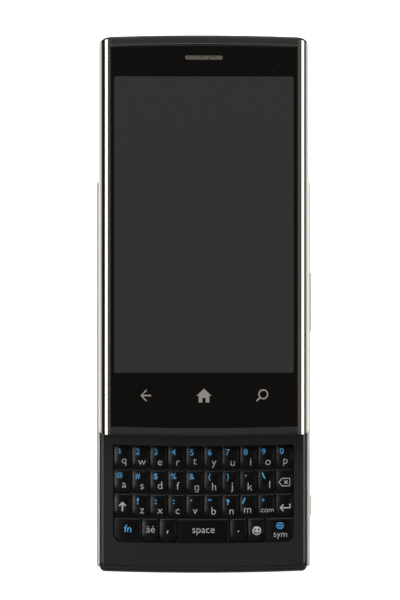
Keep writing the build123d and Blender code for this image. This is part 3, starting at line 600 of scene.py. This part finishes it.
# Toughened glass printed from behind: a clear shine over a black border and a dark grey window
cover_glass = printed_cover_glass("printed_cover_glass")
# Lacquered polycarbonate, for the keys: a near-black gloss
key_cap = gloss_key_cap("lacquered_polycarbonate_key")
# Woven wire over the earpiece and the loudspeaker: threads that cross over dark holes
earpiece_mesh = woven_mesh("woven_earpiece_mesh", "#7c7468", "#1c1916", 0.7 * MM)
speaker_mesh = woven_mesh("woven_speaker_mesh", "#3b3b3b", "#080808", 0.45 * MM)
# Printed inks: matt, a little thinner in places
grey_ink = printed_ink("pad_printed_grey_ink", "#aab0ac", "#9da39f")
blue_ink = printed_ink("pad_printed_blue_ink", "#4aa9e2", "#429cd4")
touch_ink = printed_ink("screen_printed_touch_ink", "#8f8a82", "#857f78")
# Solder mask over copper: a tinted skin with raised lines
black_board = solder_mask("black_solder_mask", "#060606", "#0b0b0a")
green_board = solder_mask("green_solder_mask", "#12402a", "#2a6a45")
# Films round the battery, of the ribbon and behind the display: smooth, with faint creases
battery_film = thin_film("battery_wrap_film", "#26282b", "#2f3236", 0.35)
polyimide = thin_film("polyimide_film", "#8a4a12", "#a05c1c", 0.3)
panel_film = thin_film("display_back_film", "#141516", "#1b1c1e", 0.25)
# Clear mouldings over the camera and the flash, and the front lens, whose coating tints its shine
clear_window = clear_optic("clear_camera_window", "#ffffff", 0.02)
flash_diffuser = clear_optic("frosted_flash_lens", "#fff6e6", 0.25)
lens_coating = coated_lens("coated_front_lens")

# The solids that each finish is for
FINISHES = {
    satin_frame: ["slab_frame"],
    satin_base: ["mid_frame"],
    satin_deck: ["key_deck"],
    soft_touch_back: ["back_cover"],
    black_nylon: ["headphone_jack"],
    chrome_plate: ["slab_rails"],
    satin_aluminium: ["base_rims", "volume_rocker", "camera_key", "power_key"],
    brushed_steel: ["slide_plate", "guide_carriage"],
    nickel_plate: ["usb_socket"],
    black_oxide: ["plate_screws"],
    cover_glass: ["front_glass"],
    earpiece_mesh: ["earpiece"],
    speaker_mesh: ["loudspeaker"],
    black_board: ["keypad_board"],
    green_board: ["main_board"],
    battery_film: ["battery"],
    polyimide: ["flex_ribbon"],
    panel_film: ["display_panel"],
    key_cap: [name for name in nodes if name.startswith("key_") and name != "key_deck"],
}


def dress_solids():
    """Gives each solid its finish."""
    for finish, names in FINISHES.items():
        for name in names:
            mesh = nodes[name].data
            mesh.materials.clear()
            mesh.materials.append(finish)


def shown_mesh(name, bm, *finishes):
    """Makes a bmesh an object of the scene, with its finishes."""
    mesh = bpy.data.meshes.new(name)
    bm.to_mesh(mesh)
    bm.free()
    for finish in finishes:
        mesh.materials.append(finish)
    made = bpy.data.objects.new(name, mesh)
    scene.collection.objects.link(made)
    return made


def piece(name, bm, body, *finishes, smooth=None):
    """Makes a bmesh a piece that moves with a body. Faces that meet under the angle are smooth."""
    made = shown_mesh(name, bm, *finishes)
    if smooth:
        made.data.shade_smooth()
        made.data.set_sharp_from_angle(angle=math.radians(smooth))
    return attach(made, body)


def bow(x):
    """How far a bowed end falls back at x from its middle."""
    return END_RISE * (x / base_side) ** 2


def whole(bm):
    """Everything in a bmesh."""
    return bm.verts[:] + bm.edges[:] + bm.faces[:]


def trim_to_plane(bm, point, normal):
    """Cuts a closed convex shape and closes the cut."""
    cut = bmesh.ops.bisect_plane(bm, geom=whole(bm), plane_co=point, plane_no=normal, clear_outer=True)
    rim = [item for item in cut["geom_cut"] if isinstance(item, bmesh.types.BMEdge)]
    bmesh.ops.contextual_create(bm, geom=rim)


def chrome_rails():
    """The chrome rails: a wide roll-over along each side, with the ends cut to the slab's bowed corners, and
    black plastic on the upper ends as a painted dark reflection.
    """
    bm = bmesh.new()
    bmesh.ops.create_cube(bm, size=1)
    stretch = RAIL_ROLL_ACROSS / RAIL_ROLL_DOWN
    height = rails_high.z - rails_low.z
    length = rails_high.y - rails_low.y
    bmesh.ops.scale(bm, verts=bm.verts, vec=(RAIL_WIDTH, length, height * stretch))
    roll = max(bm.edges, key=lambda edge: sum(vert.co.x + vert.co.z for vert in edge.verts))
    bmesh.ops.bevel(bm, geom=[roll], offset=RAIL_ROLL_ACROSS, offset_type="OFFSET", affect="EDGES",
                    segments=RAIL_ROLL_STEPS, profile=0.5, material=-1, clamp_overlap=False)
    bmesh.ops.scale(bm, verts=bm.verts, vec=(1, 1, 1 / stretch))
    middle = (rails_low + rails_high) / 2
    bmesh.ops.translate(bm, verts=bm.verts, vec=(rails_high.x - RAIL_WIDTH / 2, middle.y, middle.z))
    # Cuts round each corner, tangent to an ellipse
    painted_reflection_cuts = []
    for end, (across, along, short) in RAIL_CORNERS.items():
        for cut in range(RAIL_CORNER_CUTS):
            share = (cut + 0.5) / RAIL_CORNER_CUTS
            turn = math.pi / 2 * share
            x = rails_high.x - across + across * math.cos(turn)
            y = length / 2 - short - along + along * math.sin(turn)
            point = Vector((x, middle.y + y * end, 0))
            normal = Vector((math.cos(turn) / across, math.sin(turn) / along * end, 0)).normalized()
            trim_to_plane(bm, point, normal)
            # Upper corners, from a share of the way round: planes that bound the painted dark reflection
            if end == 1 and share > RAIL_PAINTED_REFLECTION_START:
                painted_reflection_cuts.append((point - RAIL_PAINTED_REFLECTION_DEPTH * normal, normal))
    sharp = [edge for edge in bm.edges if edge.calc_face_angle(0) > SHARP_TURN]
    bmesh.ops.bevel(bm, geom=sharp, offset=RAIL_EDGE, offset_type="OFFSET", affect="EDGES",
                    segments=EDGE_STEPS, profile=0.5, material=-1, clamp_overlap=True)
    # Black plastic on the upper ends: a painted dark reflection, on the faces past these cuts
    for point, normal in painted_reflection_cuts:
        bmesh.ops.bisect_plane(bm, geom=whole(bm), plane_co=point, plane_no=normal)
    for face in bm.faces:
        spot = face.calc_center_median()
        face.material_index = int(any((spot - point).dot(normal) > 0 for point, normal in painted_reflection_cuts))
    bmesh.ops.mirror(bm, geom=whole(bm), axis="X", merge_dist=0)
    bmesh.ops.recalc_face_normals(bm, faces=bm.faces)
    made = piece("chrome_rails", bm, "slab", chrome_plate, black_nylon, smooth=RAIL_SMOOTH)
    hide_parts("slab_rails")


def lip_strip(name, from_glass, width, height, finish):
    """A thin strip in the step between the upper end strip and the glass. It follows the bowed end."""
    bm = bmesh.new()
    bmesh.ops.create_grid(bm, x_segments=LIP_STEPS, y_segments=1, size=0.5)
    bmesh.ops.scale(bm, verts=bm.verts, vec=(glass_high.x - glass_low.x, width, 1))
    middle_y = glass_high.y + from_glass + width / 2
    bmesh.ops.translate(bm, verts=bm.verts, vec=(0, middle_y, glass_high.z))
    for vert in bm.verts:
        vert.co.y -= bow(vert.co.x)
    raised = bmesh.ops.extrude_face_region(bm, geom=bm.faces[:], use_keep_orig=True)
    top = [item for item in raised["geom"] if isinstance(item, bmesh.types.BMVert)]
    bmesh.ops.translate(bm, verts=top, vec=(0, 0, height))
    bmesh.ops.recalc_face_normals(bm, faces=bm.faces)
    edges = [edge for edge in bm.edges if all(vert.co.z > glass_high.z for vert in edge.verts)
             and edge.calc_face_angle(0) > SHARP_TURN]
    bmesh.ops.bevel(bm, geom=edges, offset=height * LIP_EDGE_SHARE, offset_type="OFFSET", affect="EDGES",
                    segments=EDGE_STEPS, profile=0.5, material=-1, clamp_overlap=True)
    piece(name, bm, "slab", finish, smooth=LIP_SMOOTH)


def slide_ribbon():
    """The ribbon: a copy of the solid with its doubled points merged, shown in place of the solid, which is
    hidden.
    """
    bm = bmesh.new()
    bm.from_mesh(nodes["flex_ribbon"].data)
    bmesh.ops.remove_doubles(bm, verts=bm.verts, dist=MICRON)
    made = shown_mesh("slide_ribbon", bm, polyimide)
    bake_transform(made)
    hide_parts("flex_ribbon")


def turned(outline, centre):
    """A round shape: an outline of radius and height, spun about an upright line."""
    bm = bmesh.new()
    rim = [bm.verts.new((centre.x + radius, centre.y, height)) for radius, height in outline]
    edges = [bm.edges.new(pair) for pair in zip(rim, rim[1:])]
    bmesh.ops.spin(bm, geom=rim + edges, cent=centre, axis=(0, 0, 1), angle=math.tau, steps=ROUND_STEPS,
                   use_merge=True)
    bmesh.ops.remove_doubles(bm, verts=bm.verts, dist=MICRON)
    bmesh.ops.recalc_face_normals(bm, faces=bm.faces)
    return bm


def camera_set():
    """The camera in the back: bevelled ring, pane, stepped barrel, front lens, and the flash beside it."""
    centre = Vector((module_low.x + CAMERA_FLANGE, (module_low.y + module_high.y) / 2, 0))
    bezel = [
        (RING_OUTER, RING_BACK), (RING_OUTER, RING_RECESS + RING_EDGE),
        (RING_OUTER - RING_EDGE, RING_RECESS), (RING_INNER + 2 * RING_EDGE, RING_RECESS),
        (RING_INNER, RING_RECESS + 2 * RING_EDGE), (RING_INNER, RING_BACK), (RING_OUTER, RING_BACK),
    ]
    made = piece("camera_ring", turned(bezel, centre), "base", satin_aluminium, smooth=RING_SMOOTH)
    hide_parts("camera_module")
    pane_back = PANE_FRONT + PANE_THICKNESS
    pane = [
        (0, PANE_FRONT), (PANE_RADIUS - RING_EDGE, PANE_FRONT), (PANE_RADIUS, PANE_FRONT + RING_EDGE),
        (PANE_RADIUS, pane_back), (0, pane_back),
    ]
    made = piece("camera_window", turned(pane, centre), "base", clear_window, smooth=RING_SMOOTH)
    barrel = [(BARREL_MOUTH, pane_back)]
    for step in range(1, BARREL_STEPS + 1):
        share = step / BARREL_STEPS
        radius = BARREL_MOUTH + (BARREL_THROAT - BARREL_MOUTH) * share
        depth = pane_back + BARREL_DEPTH * share
        barrel += [(barrel[-1][0], depth), (radius, depth)]
    floor = pane_back + BARREL_DEPTH + RING_EDGE
    wall = BARREL_MOUTH + RING_EDGE
    barrel += [(BARREL_THROAT, floor), (0, floor), (0, floor + RING_EDGE), (wall, floor + RING_EDGE)]
    barrel += [(wall, pane_back), (BARREL_MOUTH, pane_back)]
    made = piece("camera_barrel", turned(barrel, centre), "base", black_nylon, smooth=LENS_SMOOTH)
    lens_back = pane_back + BARREL_DEPTH
    turns = [math.pi / 2 * step / LENS_STEPS for step in range(LENS_STEPS + 1)]
    lens = [(LENS_RADIUS * math.sin(turn), lens_back - LENS_RISE * math.cos(turn)) for turn in turns]
    lens.append((0, lens_back))
    made = piece("camera_lens", turned(lens, centre), "base", lens_coating, smooth=LENS_SMOOTH)
    flash = [(0, RING_RECESS + FLASH_RIDGE_DEPTH)]
    for ridge in range(FLASH_RIDGES):
        inner = FLASH_RADIUS * (ridge + 0.5) / FLASH_RIDGES
        outer = FLASH_RADIUS * (ridge + 1) / FLASH_RIDGES
        flash += [(inner, RING_RECESS), (outer, RING_RECESS + FLASH_RIDGE_DEPTH)]
    flash += [(FLASH_RADIUS, RING_BACK), (0, RING_BACK)]
    beside = centre + Vector((FLASH_FROM_CAMERA, 0, 0))
    made = piece("flash_lens", turned(flash, beside), "base", flash_diffuser, smooth=RIDGE_SMOOTH)


def as_mesh(curve):
    """A curve or text made a mesh."""
    holder = bpy.data.objects.new(curve.name, curve)
    mesh = bpy.data.meshes.new_from_object(holder)
    bpy.data.objects.remove(holder)
    bpy.data.curves.remove(curve)
    return mesh


def text_mark(text, weight=0.0):
    """Text, filled flat."""
    curve = bpy.data.curves.new("text", "FONT")
    curve.body = text
    curve.offset = weight
    curve.resolution_u = 5
    return as_mesh(curve)


def line_mark(points, width, closed=False):
    """A line through the points, round in section and then pressed flat."""
    curve = bpy.data.curves.new("line", "CURVE")
    curve.dimensions = "3D"
    curve.bevel_depth = width / 2
    curve.bevel_resolution = 2
    curve.use_fill_caps = True
    spline = curve.splines.new("POLY")
    spline.points.add(len(points) - 1)
    for point, (x, y) in zip(spline.points, points):
        point.co = (x, y, 0, 1)
    spline.use_cyclic_u = closed
    mesh = as_mesh(curve)
    mesh.transform(Matrix.Diagonal((1, 1, 2 * INK_SUNK / width, 1)))
    return mesh


def filled_mark(outlines):
    """A flat area inside the first outline, with the others left open."""
    curve = bpy.data.curves.new("area", "CURVE")
    curve.dimensions = "2D"
    curve.fill_mode = "BOTH"
    for outline in outlines:
        spline = curve.splines.new("POLY")
        spline.points.add(len(outline) - 1)
        for point, (x, y) in zip(spline.points, outline):
            point.co = (x, y, 0, 1)
        spline.use_cyclic_u = True
    return as_mesh(curve)


def arc(x, y, across, along, start=0.0, stop=360.0, steps=32):
    """Points round part of an ellipse, in degrees."""
    turns = [math.radians(start + (stop - start) * step / steps) for step in range(steps + 1)]
    return [(x + across * math.cos(t), y + along * math.sin(t)) for t in turns]


def ring(x, y, across, along, steps=32):
    """Points round a whole ellipse."""
    return arc(x, y, across, along, steps=steps)[:-1]


def mesh_box(mesh):
    """Lowest and highest corner of a mesh."""
    spots = [vert.co for vert in mesh.vertices]
    return [Vector([pick(spot[axis] for spot in spots) for axis in range(3)]) for pick in (min, max)]


def unit_height(sample):
    """Height of a sample letter at text size 1."""
    low, high = mesh_box(text_mark(sample))
    return high.y - low.y


# Heights of lower case and of digits at text size 1
X_HEIGHT = unit_height("x")
DIGIT_HEIGHT = unit_height("0")


def set_text(text, size, middle, baseline, weight):
    """Text of a size, centred at middle and standing on the baseline."""
    mesh = text_mark(text, weight)
    low, high = mesh_box(mesh)
    shift = Matrix.Translation((middle - size * (low.x + high.x) / 2, baseline, 0))
    mesh.transform(shift @ Matrix.Diagonal((size, size, 1, 1)))
    return mesh


def solid_of(node):
    """A solid's surface, for finding its height."""
    mesh = nodes[node].data
    spots = [vert.co for vert in mesh.vertices]
    return BVHTree.FromPolygons(spots, [list(face.vertices) for face in mesh.polygons])


def placed(points, x=0.0, y=0.0):
    """Points written in millimetres about a place, in metres."""
    return [(x + right * MM, y + up * MM) for right, up in points]


def stroke_marks(strokes, width, x=0.0, y=0.0):
    """Lines along strokes that are written in millimetres about a place."""
    return [line_mark(placed(stroke, x, y), width) for stroke in strokes]


def inked(ink, *meshes):
    """Meshes, each with the number of its ink."""
    return [(mesh, ink) for mesh in meshes]


def print_on(node, name, body, centre, marks, inks):
    """Prints marks on a solid's upper surface: each is a mesh about the centre and its ink's number."""
    surface = solid_of(node)
    bm = bmesh.new()
    for mesh, ink in marks:
        start = len(bm.faces)
        bm.from_mesh(mesh)
        bm.faces.ensure_lookup_table()
        fresh = bm.faces[start:]
        for face in fresh:
            face.material_index = ink
        verts = {vert for face in fresh for vert in face.verts}
        flat = max(vert.co.z for vert in verts) == 0
        bmesh.ops.translate(bm, verts=list(verts), vec=(0, 0, INK_PROUD))
        if flat:
            sunk = bmesh.ops.extrude_face_region(bm, geom=fresh, use_keep_orig=True)
            lower = [item for item in sunk["geom"] if isinstance(item, bmesh.types.BMVert)]
            bmesh.ops.translate(bm, verts=lower, vec=(0, 0, -INK_PROUD - INK_SUNK))
    bmesh.ops.remove_doubles(bm, verts=bm.verts, dist=MICRON / 10)
    for _ in range(INK_HALVINGS):
        long = [edge for edge in bm.edges if edge.calc_length() > INK_STEP]
        if not long:
            break
        bmesh.ops.subdivide_edges(bm, edges=long, cuts=1)
        bmesh.ops.triangulate(bm, faces=bm.faces)
    above = Vector((centre.x, centre.y, 1))
    for vert in bm.verts:
        hit = surface.ray_cast(vert.co + above, Vector((0, 0, -1)))[0]
        vert.co = hit + Vector((0, 0, vert.co.z))
    bmesh.ops.recalc_face_normals(bm, faces=bm.faces)
    return piece(name, bm, body, *inks)


def symbol_marks(symbol):
    """A key's upper symbol, as strokes or as text."""
    size = SYMBOL_HEIGHT / DIGIT_HEIGHT
    if symbol in DRAWN_SYMBOLS:
        centre = SYMBOL_BASELINE + SYMBOL_HEIGHT / 2
        width = BOLD_STROKE if symbol in BOLD_SYMBOLS else SYMBOL_STROKE
        return stroke_marks(DRAWN_SYMBOLS[symbol], width, SYMBOL_MIDDLE, centre)
    if symbol == "@":
        return [set_text(symbol, AT_SHARE * size, SYMBOL_MIDDLE, SYMBOL_BASELINE + AT_LIFT, SYMBOL_WEIGHT)]
    weight = DIGIT_WEIGHT if symbol.isdigit() else SYMBOL_WEIGHT
    return [set_text(symbol, size, SYMBOL_MIDDLE, SYMBOL_BASELINE, weight)]


def letter_mark(letter):
    """A key's letter."""
    right, up = LETTER_NUDGES.get(letter, (0, 0))
    middle = LETTER_MIDDLE + right * MM
    baseline = LETTER_BASELINE + up * MM
    if letter == "g":
        return set_text(OPEN_G, LETTER_X_HEIGHT / OPEN_G_HEIGHT, middle, baseline, LETTER_WEIGHT)
    return set_text(letter, LETTER_X_HEIGHT / X_HEIGHT, middle, baseline, LETTER_WEIGHT)


def key_marks():
    """What is printed on each key, as meshes about the key's middle and the numbers of their inks."""
    word_size = WORD_X_HEIGHT / X_HEIGHT
    marks = {}
    for letters, symbols in SYMBOL_ROWS.items():
        for letter, symbol in zip(letters, symbols):
            lower = letter_mark(letter)
            marks["key_" + letter] = inked(GREY, lower) + inked(BLUE, *symbol_marks(symbol))
    domain_size = DOMAIN_X_HEIGHT / X_HEIGHT
    domain = set_text(".com", domain_size, DOMAIN_MIDDLE, LETTER_BASELINE + DOMAIN_LIFT, LETTER_WEIGHT)
    symbol_size = SYMBOL_HEIGHT / DIGIT_HEIGHT
    star = set_text("*", STAR_SHARE * symbol_size, STAR_MIDDLE, SYMBOL_BASELINE - STAR_DROP, 0)
    marks["key_domain"] = inked(GREY, domain) + inked(BLUE, star)
    marks["key_fn"] = inked(BLUE, set_text("fn", word_size, FN_MIDDLE, WORD_BASELINE, 0))
    accent = set_text("äé", word_size, ACCENT_MIDDLE, WORD_BASELINE, LETTER_WEIGHT)
    marks["key_accent"] = inked(GREY, accent)
    marks["key_comma"] = inked(GREY, *stroke_marks(COMMA, BOLD_STROKE))
    space = set_text("space", word_size, SPACE_MIDDLE, WORD_BASELINE, LETTER_WEIGHT)
    marks["key_space"] = inked(GREY, space)
    period = set_text(".", PERIOD_SHARE * word_size, 0, PERIOD_BASELINE, LETTER_WEIGHT)
    marks["key_period"] = inked(GREY, period)
    sym = set_text("sym", SMALL_WORD_X_HEIGHT / X_HEIGHT, SYM_MIDDLE, SYM_BASELINE, LETTER_WEIGHT)
    marks["key_symbols"] = inked(GREY, sym) + inked(BLUE, *globe_marks())
    marks["key_emoticon"] = inked(GREY, smile_mark())
    marks["key_shift"] = inked(GREY, *stroke_marks(SHIFT_ARROW, SHIFT_LINE))
    tag = line_mark(placed(BACKSPACE_TAG), BACKSPACE_LINE, True)
    marks["key_backspace"] = inked(GREY, tag, *stroke_marks(BACKSPACE_CROSS, BACKSPACE_LINE))
    marks["key_enter"] = inked(GREY, *stroke_marks(ENTER_ARROW, ENTER_LINE))
    return marks


def globe_marks():
    """A globe: its outline, one meridian and three lines across, the middle one wider."""
    x, y = GLOBE_MIDDLE
    across, along = GLOBE_RADII
    lines = [line_mark(ring(x, y, across, along), GLOBE_LINE, True)]
    lines.append(line_mark(ring(x, y, MERIDIAN_SHARE * across, along), MERIDIAN_LINE, True))
    for level, width in GLOBE_LEVELS.items():
        half = across * math.sqrt(1 - level ** 2)
        lines.append(line_mark([(x - half, y + level * along), (x + half, y + level * along)], width))
    return lines


def smile_mark():
    """A plain smiling disc, with the eyes and mouth left open."""
    x, y = SMILE_MIDDLE
    start, stop = MOUTH_SPAN
    mouth = arc(x, y, *MOUTH_OUTER, start, stop) + arc(x, y, *MOUTH_INNER, stop, start)
    eyes = [ring(x + side * EYE_SPREAD, y + EYE_LIFT, *EYE_RADII, EYE_STEPS) for side in (-1, 1)]
    return filled_mark([ring(x, y, SMILE_RADIUS, SMILE_RADIUS, SMILE_STEPS), mouth] + eyes)


def print_keys():
    """Prints every key."""
    for name, marks in key_marks().items():
        low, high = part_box(name)
        made = print_on(name, name + "_print", name, (low + high) / 2, marks, (grey_ink, blue_ink))


def print_glass():
    """The touch marks in the glass: a back arrow, a plain house and a magnifier."""
    row = glass_low.y + TOUCH_ROW
    lens = ring(MAGNIFIER_MIDDLE, MAGNIFIER_MIDDLE, MAGNIFIER_RADIUS, MAGNIFIER_RADIUS)
    places = {
        "touch_back": (-TOUCH_SPACING, stroke_marks(BACK_ARROW, TOUCH_LINE)),
        "touch_home": (0, [filled_mark([placed(HOUSE)])]),
        "touch_search": (TOUCH_SPACING, [line_mark(lens, TOUCH_LINE, True),
                                         *stroke_marks(MAGNIFIER_HANDLE, TOUCH_LINE)]),
    }
    for name, (x, meshes) in places.items():
        centre = Vector((x, row, 0))
        made = print_on("front_glass", name, "slab", centre, inked(0, *meshes), (touch_ink,))


def pale_floor():
    """A wide pale table. Seen or mirrored it is white, and it keeps the phone's shadow."""
    bm = bmesh.new()
    bmesh.ops.create_grid(bm, x_segments=4, y_segments=4, size=TABLE_REACH)
    bmesh.ops.translate(bm, verts=bm.verts, vec=(0, 0, -TABLE_GAP))
    made, tree = blank_material("white_table")
    path = add(tree, "ShaderNodeLightPath")
    seen = add(tree, "ShaderNodeMath", {
        0: path.outputs["Is Camera Ray"], 1: path.outputs["Is Glossy Ray"],
    }, operation="MAXIMUM")
    shown = add(tree, "ShaderNodeMath", {
        0: seen.outputs[0], 1: path.outputs["Is Transmission Ray"],
    }, operation="MAXIMUM")
    lift = add(tree, "ShaderNodeMath", {0: shown.outputs[0], 1: TABLE_GLOW}, operation="MULTIPLY")
    matt = add(tree, "ShaderNodeBsdfDiffuse", {"Color": colour(TABLE_TONE)})
    glow = add(tree, "ShaderNodeEmission", {"Color": (1, 1, 1, 1), "Strength": lift.outputs[0]})
    close(tree, add(tree, "ShaderNodeAddShader", {0: matt.outputs[0], 1: glow.outputs[0]}))
    shown_mesh("table", bm, made)


def studio_world():
    """A studio with pale low walls, a dark band above them and a dim warm ceiling."""
    world = bpy.data.worlds.new("studio")
    scene.world = world
    world.use_nodes = True
    tree = world.node_tree
    tree.nodes.clear()
    direction = add(tree, "ShaderNodeTexCoord").outputs["Generated"]
    rise = add(tree, "ShaderNodeSeparateXYZ", {0: direction}).outputs["Z"]
    ramp = add(tree, "ShaderNodeValToRGB", {"Fac": rise})
    stops = ramp.color_ramp.elements
    for number, (position, tone) in enumerate(STUDIO_TONES):
        stop = stops[number] if number < len(stops) else stops.new(position)
        stop.position = position
        stop.color = tone
    sky = add(tree, "ShaderNodeBackground", {"Color": ramp.outputs["Color"], "Strength": 1})
    add(tree, "ShaderNodeOutputWorld", {"Surface": sky.outputs[0]})


def softbox(name, toward, nearest, furthest, length, strength):
    """A soft light that stands between two angles from straight up, towards a side, and faces the phone."""
    middle = math.radians((nearest + furthest) / 2)
    width = 2 * LAMP_DISTANCE * math.tan(math.radians((furthest - nearest) / 2))
    lamp = bpy.data.lights.new(name, "AREA")
    lamp.shape = "RECTANGLE"
    lamp.size = width
    lamp.size_y = length
    lamp.energy = WATTS_FOR_STRENGTH * width * length * strength
    holder = bpy.data.objects.new(name, lamp)
    scene.collection.objects.link(holder)
    side = Vector((*toward, 0)).normalized()
    lean = math.sin(middle) * side + Vector((0, 0, math.cos(middle)))
    holder.location = VIEW_AIM + LAMP_DISTANCE * lean
    back = (holder.location - VIEW_AIM).normalized()
    across = Vector((-side.y, side.x, 0))
    holder.rotation_euler = Matrix((across.cross(back), across, back)).transposed().to_euler()
    holder.visible_camera = False


def photograph_view():
    """A long lens looking straight down, leaning a little from the left."""
    data = bpy.data.cameras.new("camera")
    data.sensor_width = SENSOR
    data.lens = VIEW_LENS
    data.clip_start = NEAREST_SEEN
    camera = bpy.data.objects.new("camera", data)
    scene.collection.objects.link(camera)
    camera.location = VIEW_AIM + Vector((VIEW_LEAN, 0, VIEW_DISTANCE))
    back = (camera.location - VIEW_AIM).normalized()
    right = Vector((0, 1, 0)).cross(back).normalized()
    camera.rotation_euler = Matrix((right, back.cross(right), back)).transposed().to_euler()
    scene.camera = camera


scene.view_settings.view_transform = "Standard"
dress_solids()
chrome_rails()
# Near-black strip at the glass's upper edge: painted shade of the gap
lip_strip("painted_shade_gap_strip", 0, SHADE_STRIP_WIDTH, SHADE_STRIP_HEIGHT, painted_shade_finish)
lip_strip("lip_trim", SHADE_STRIP_WIDTH, TRIM_WIDTH, TRIM_HEIGHT, satin_chrome)
slide_ribbon()
camera_set()
print_keys()
print_glass()
pale_floor()
studio_world()
for lamp_name, lamp_values in SOFTBOXES.items():
    softbox(lamp_name, *lamp_values)
photograph_view()
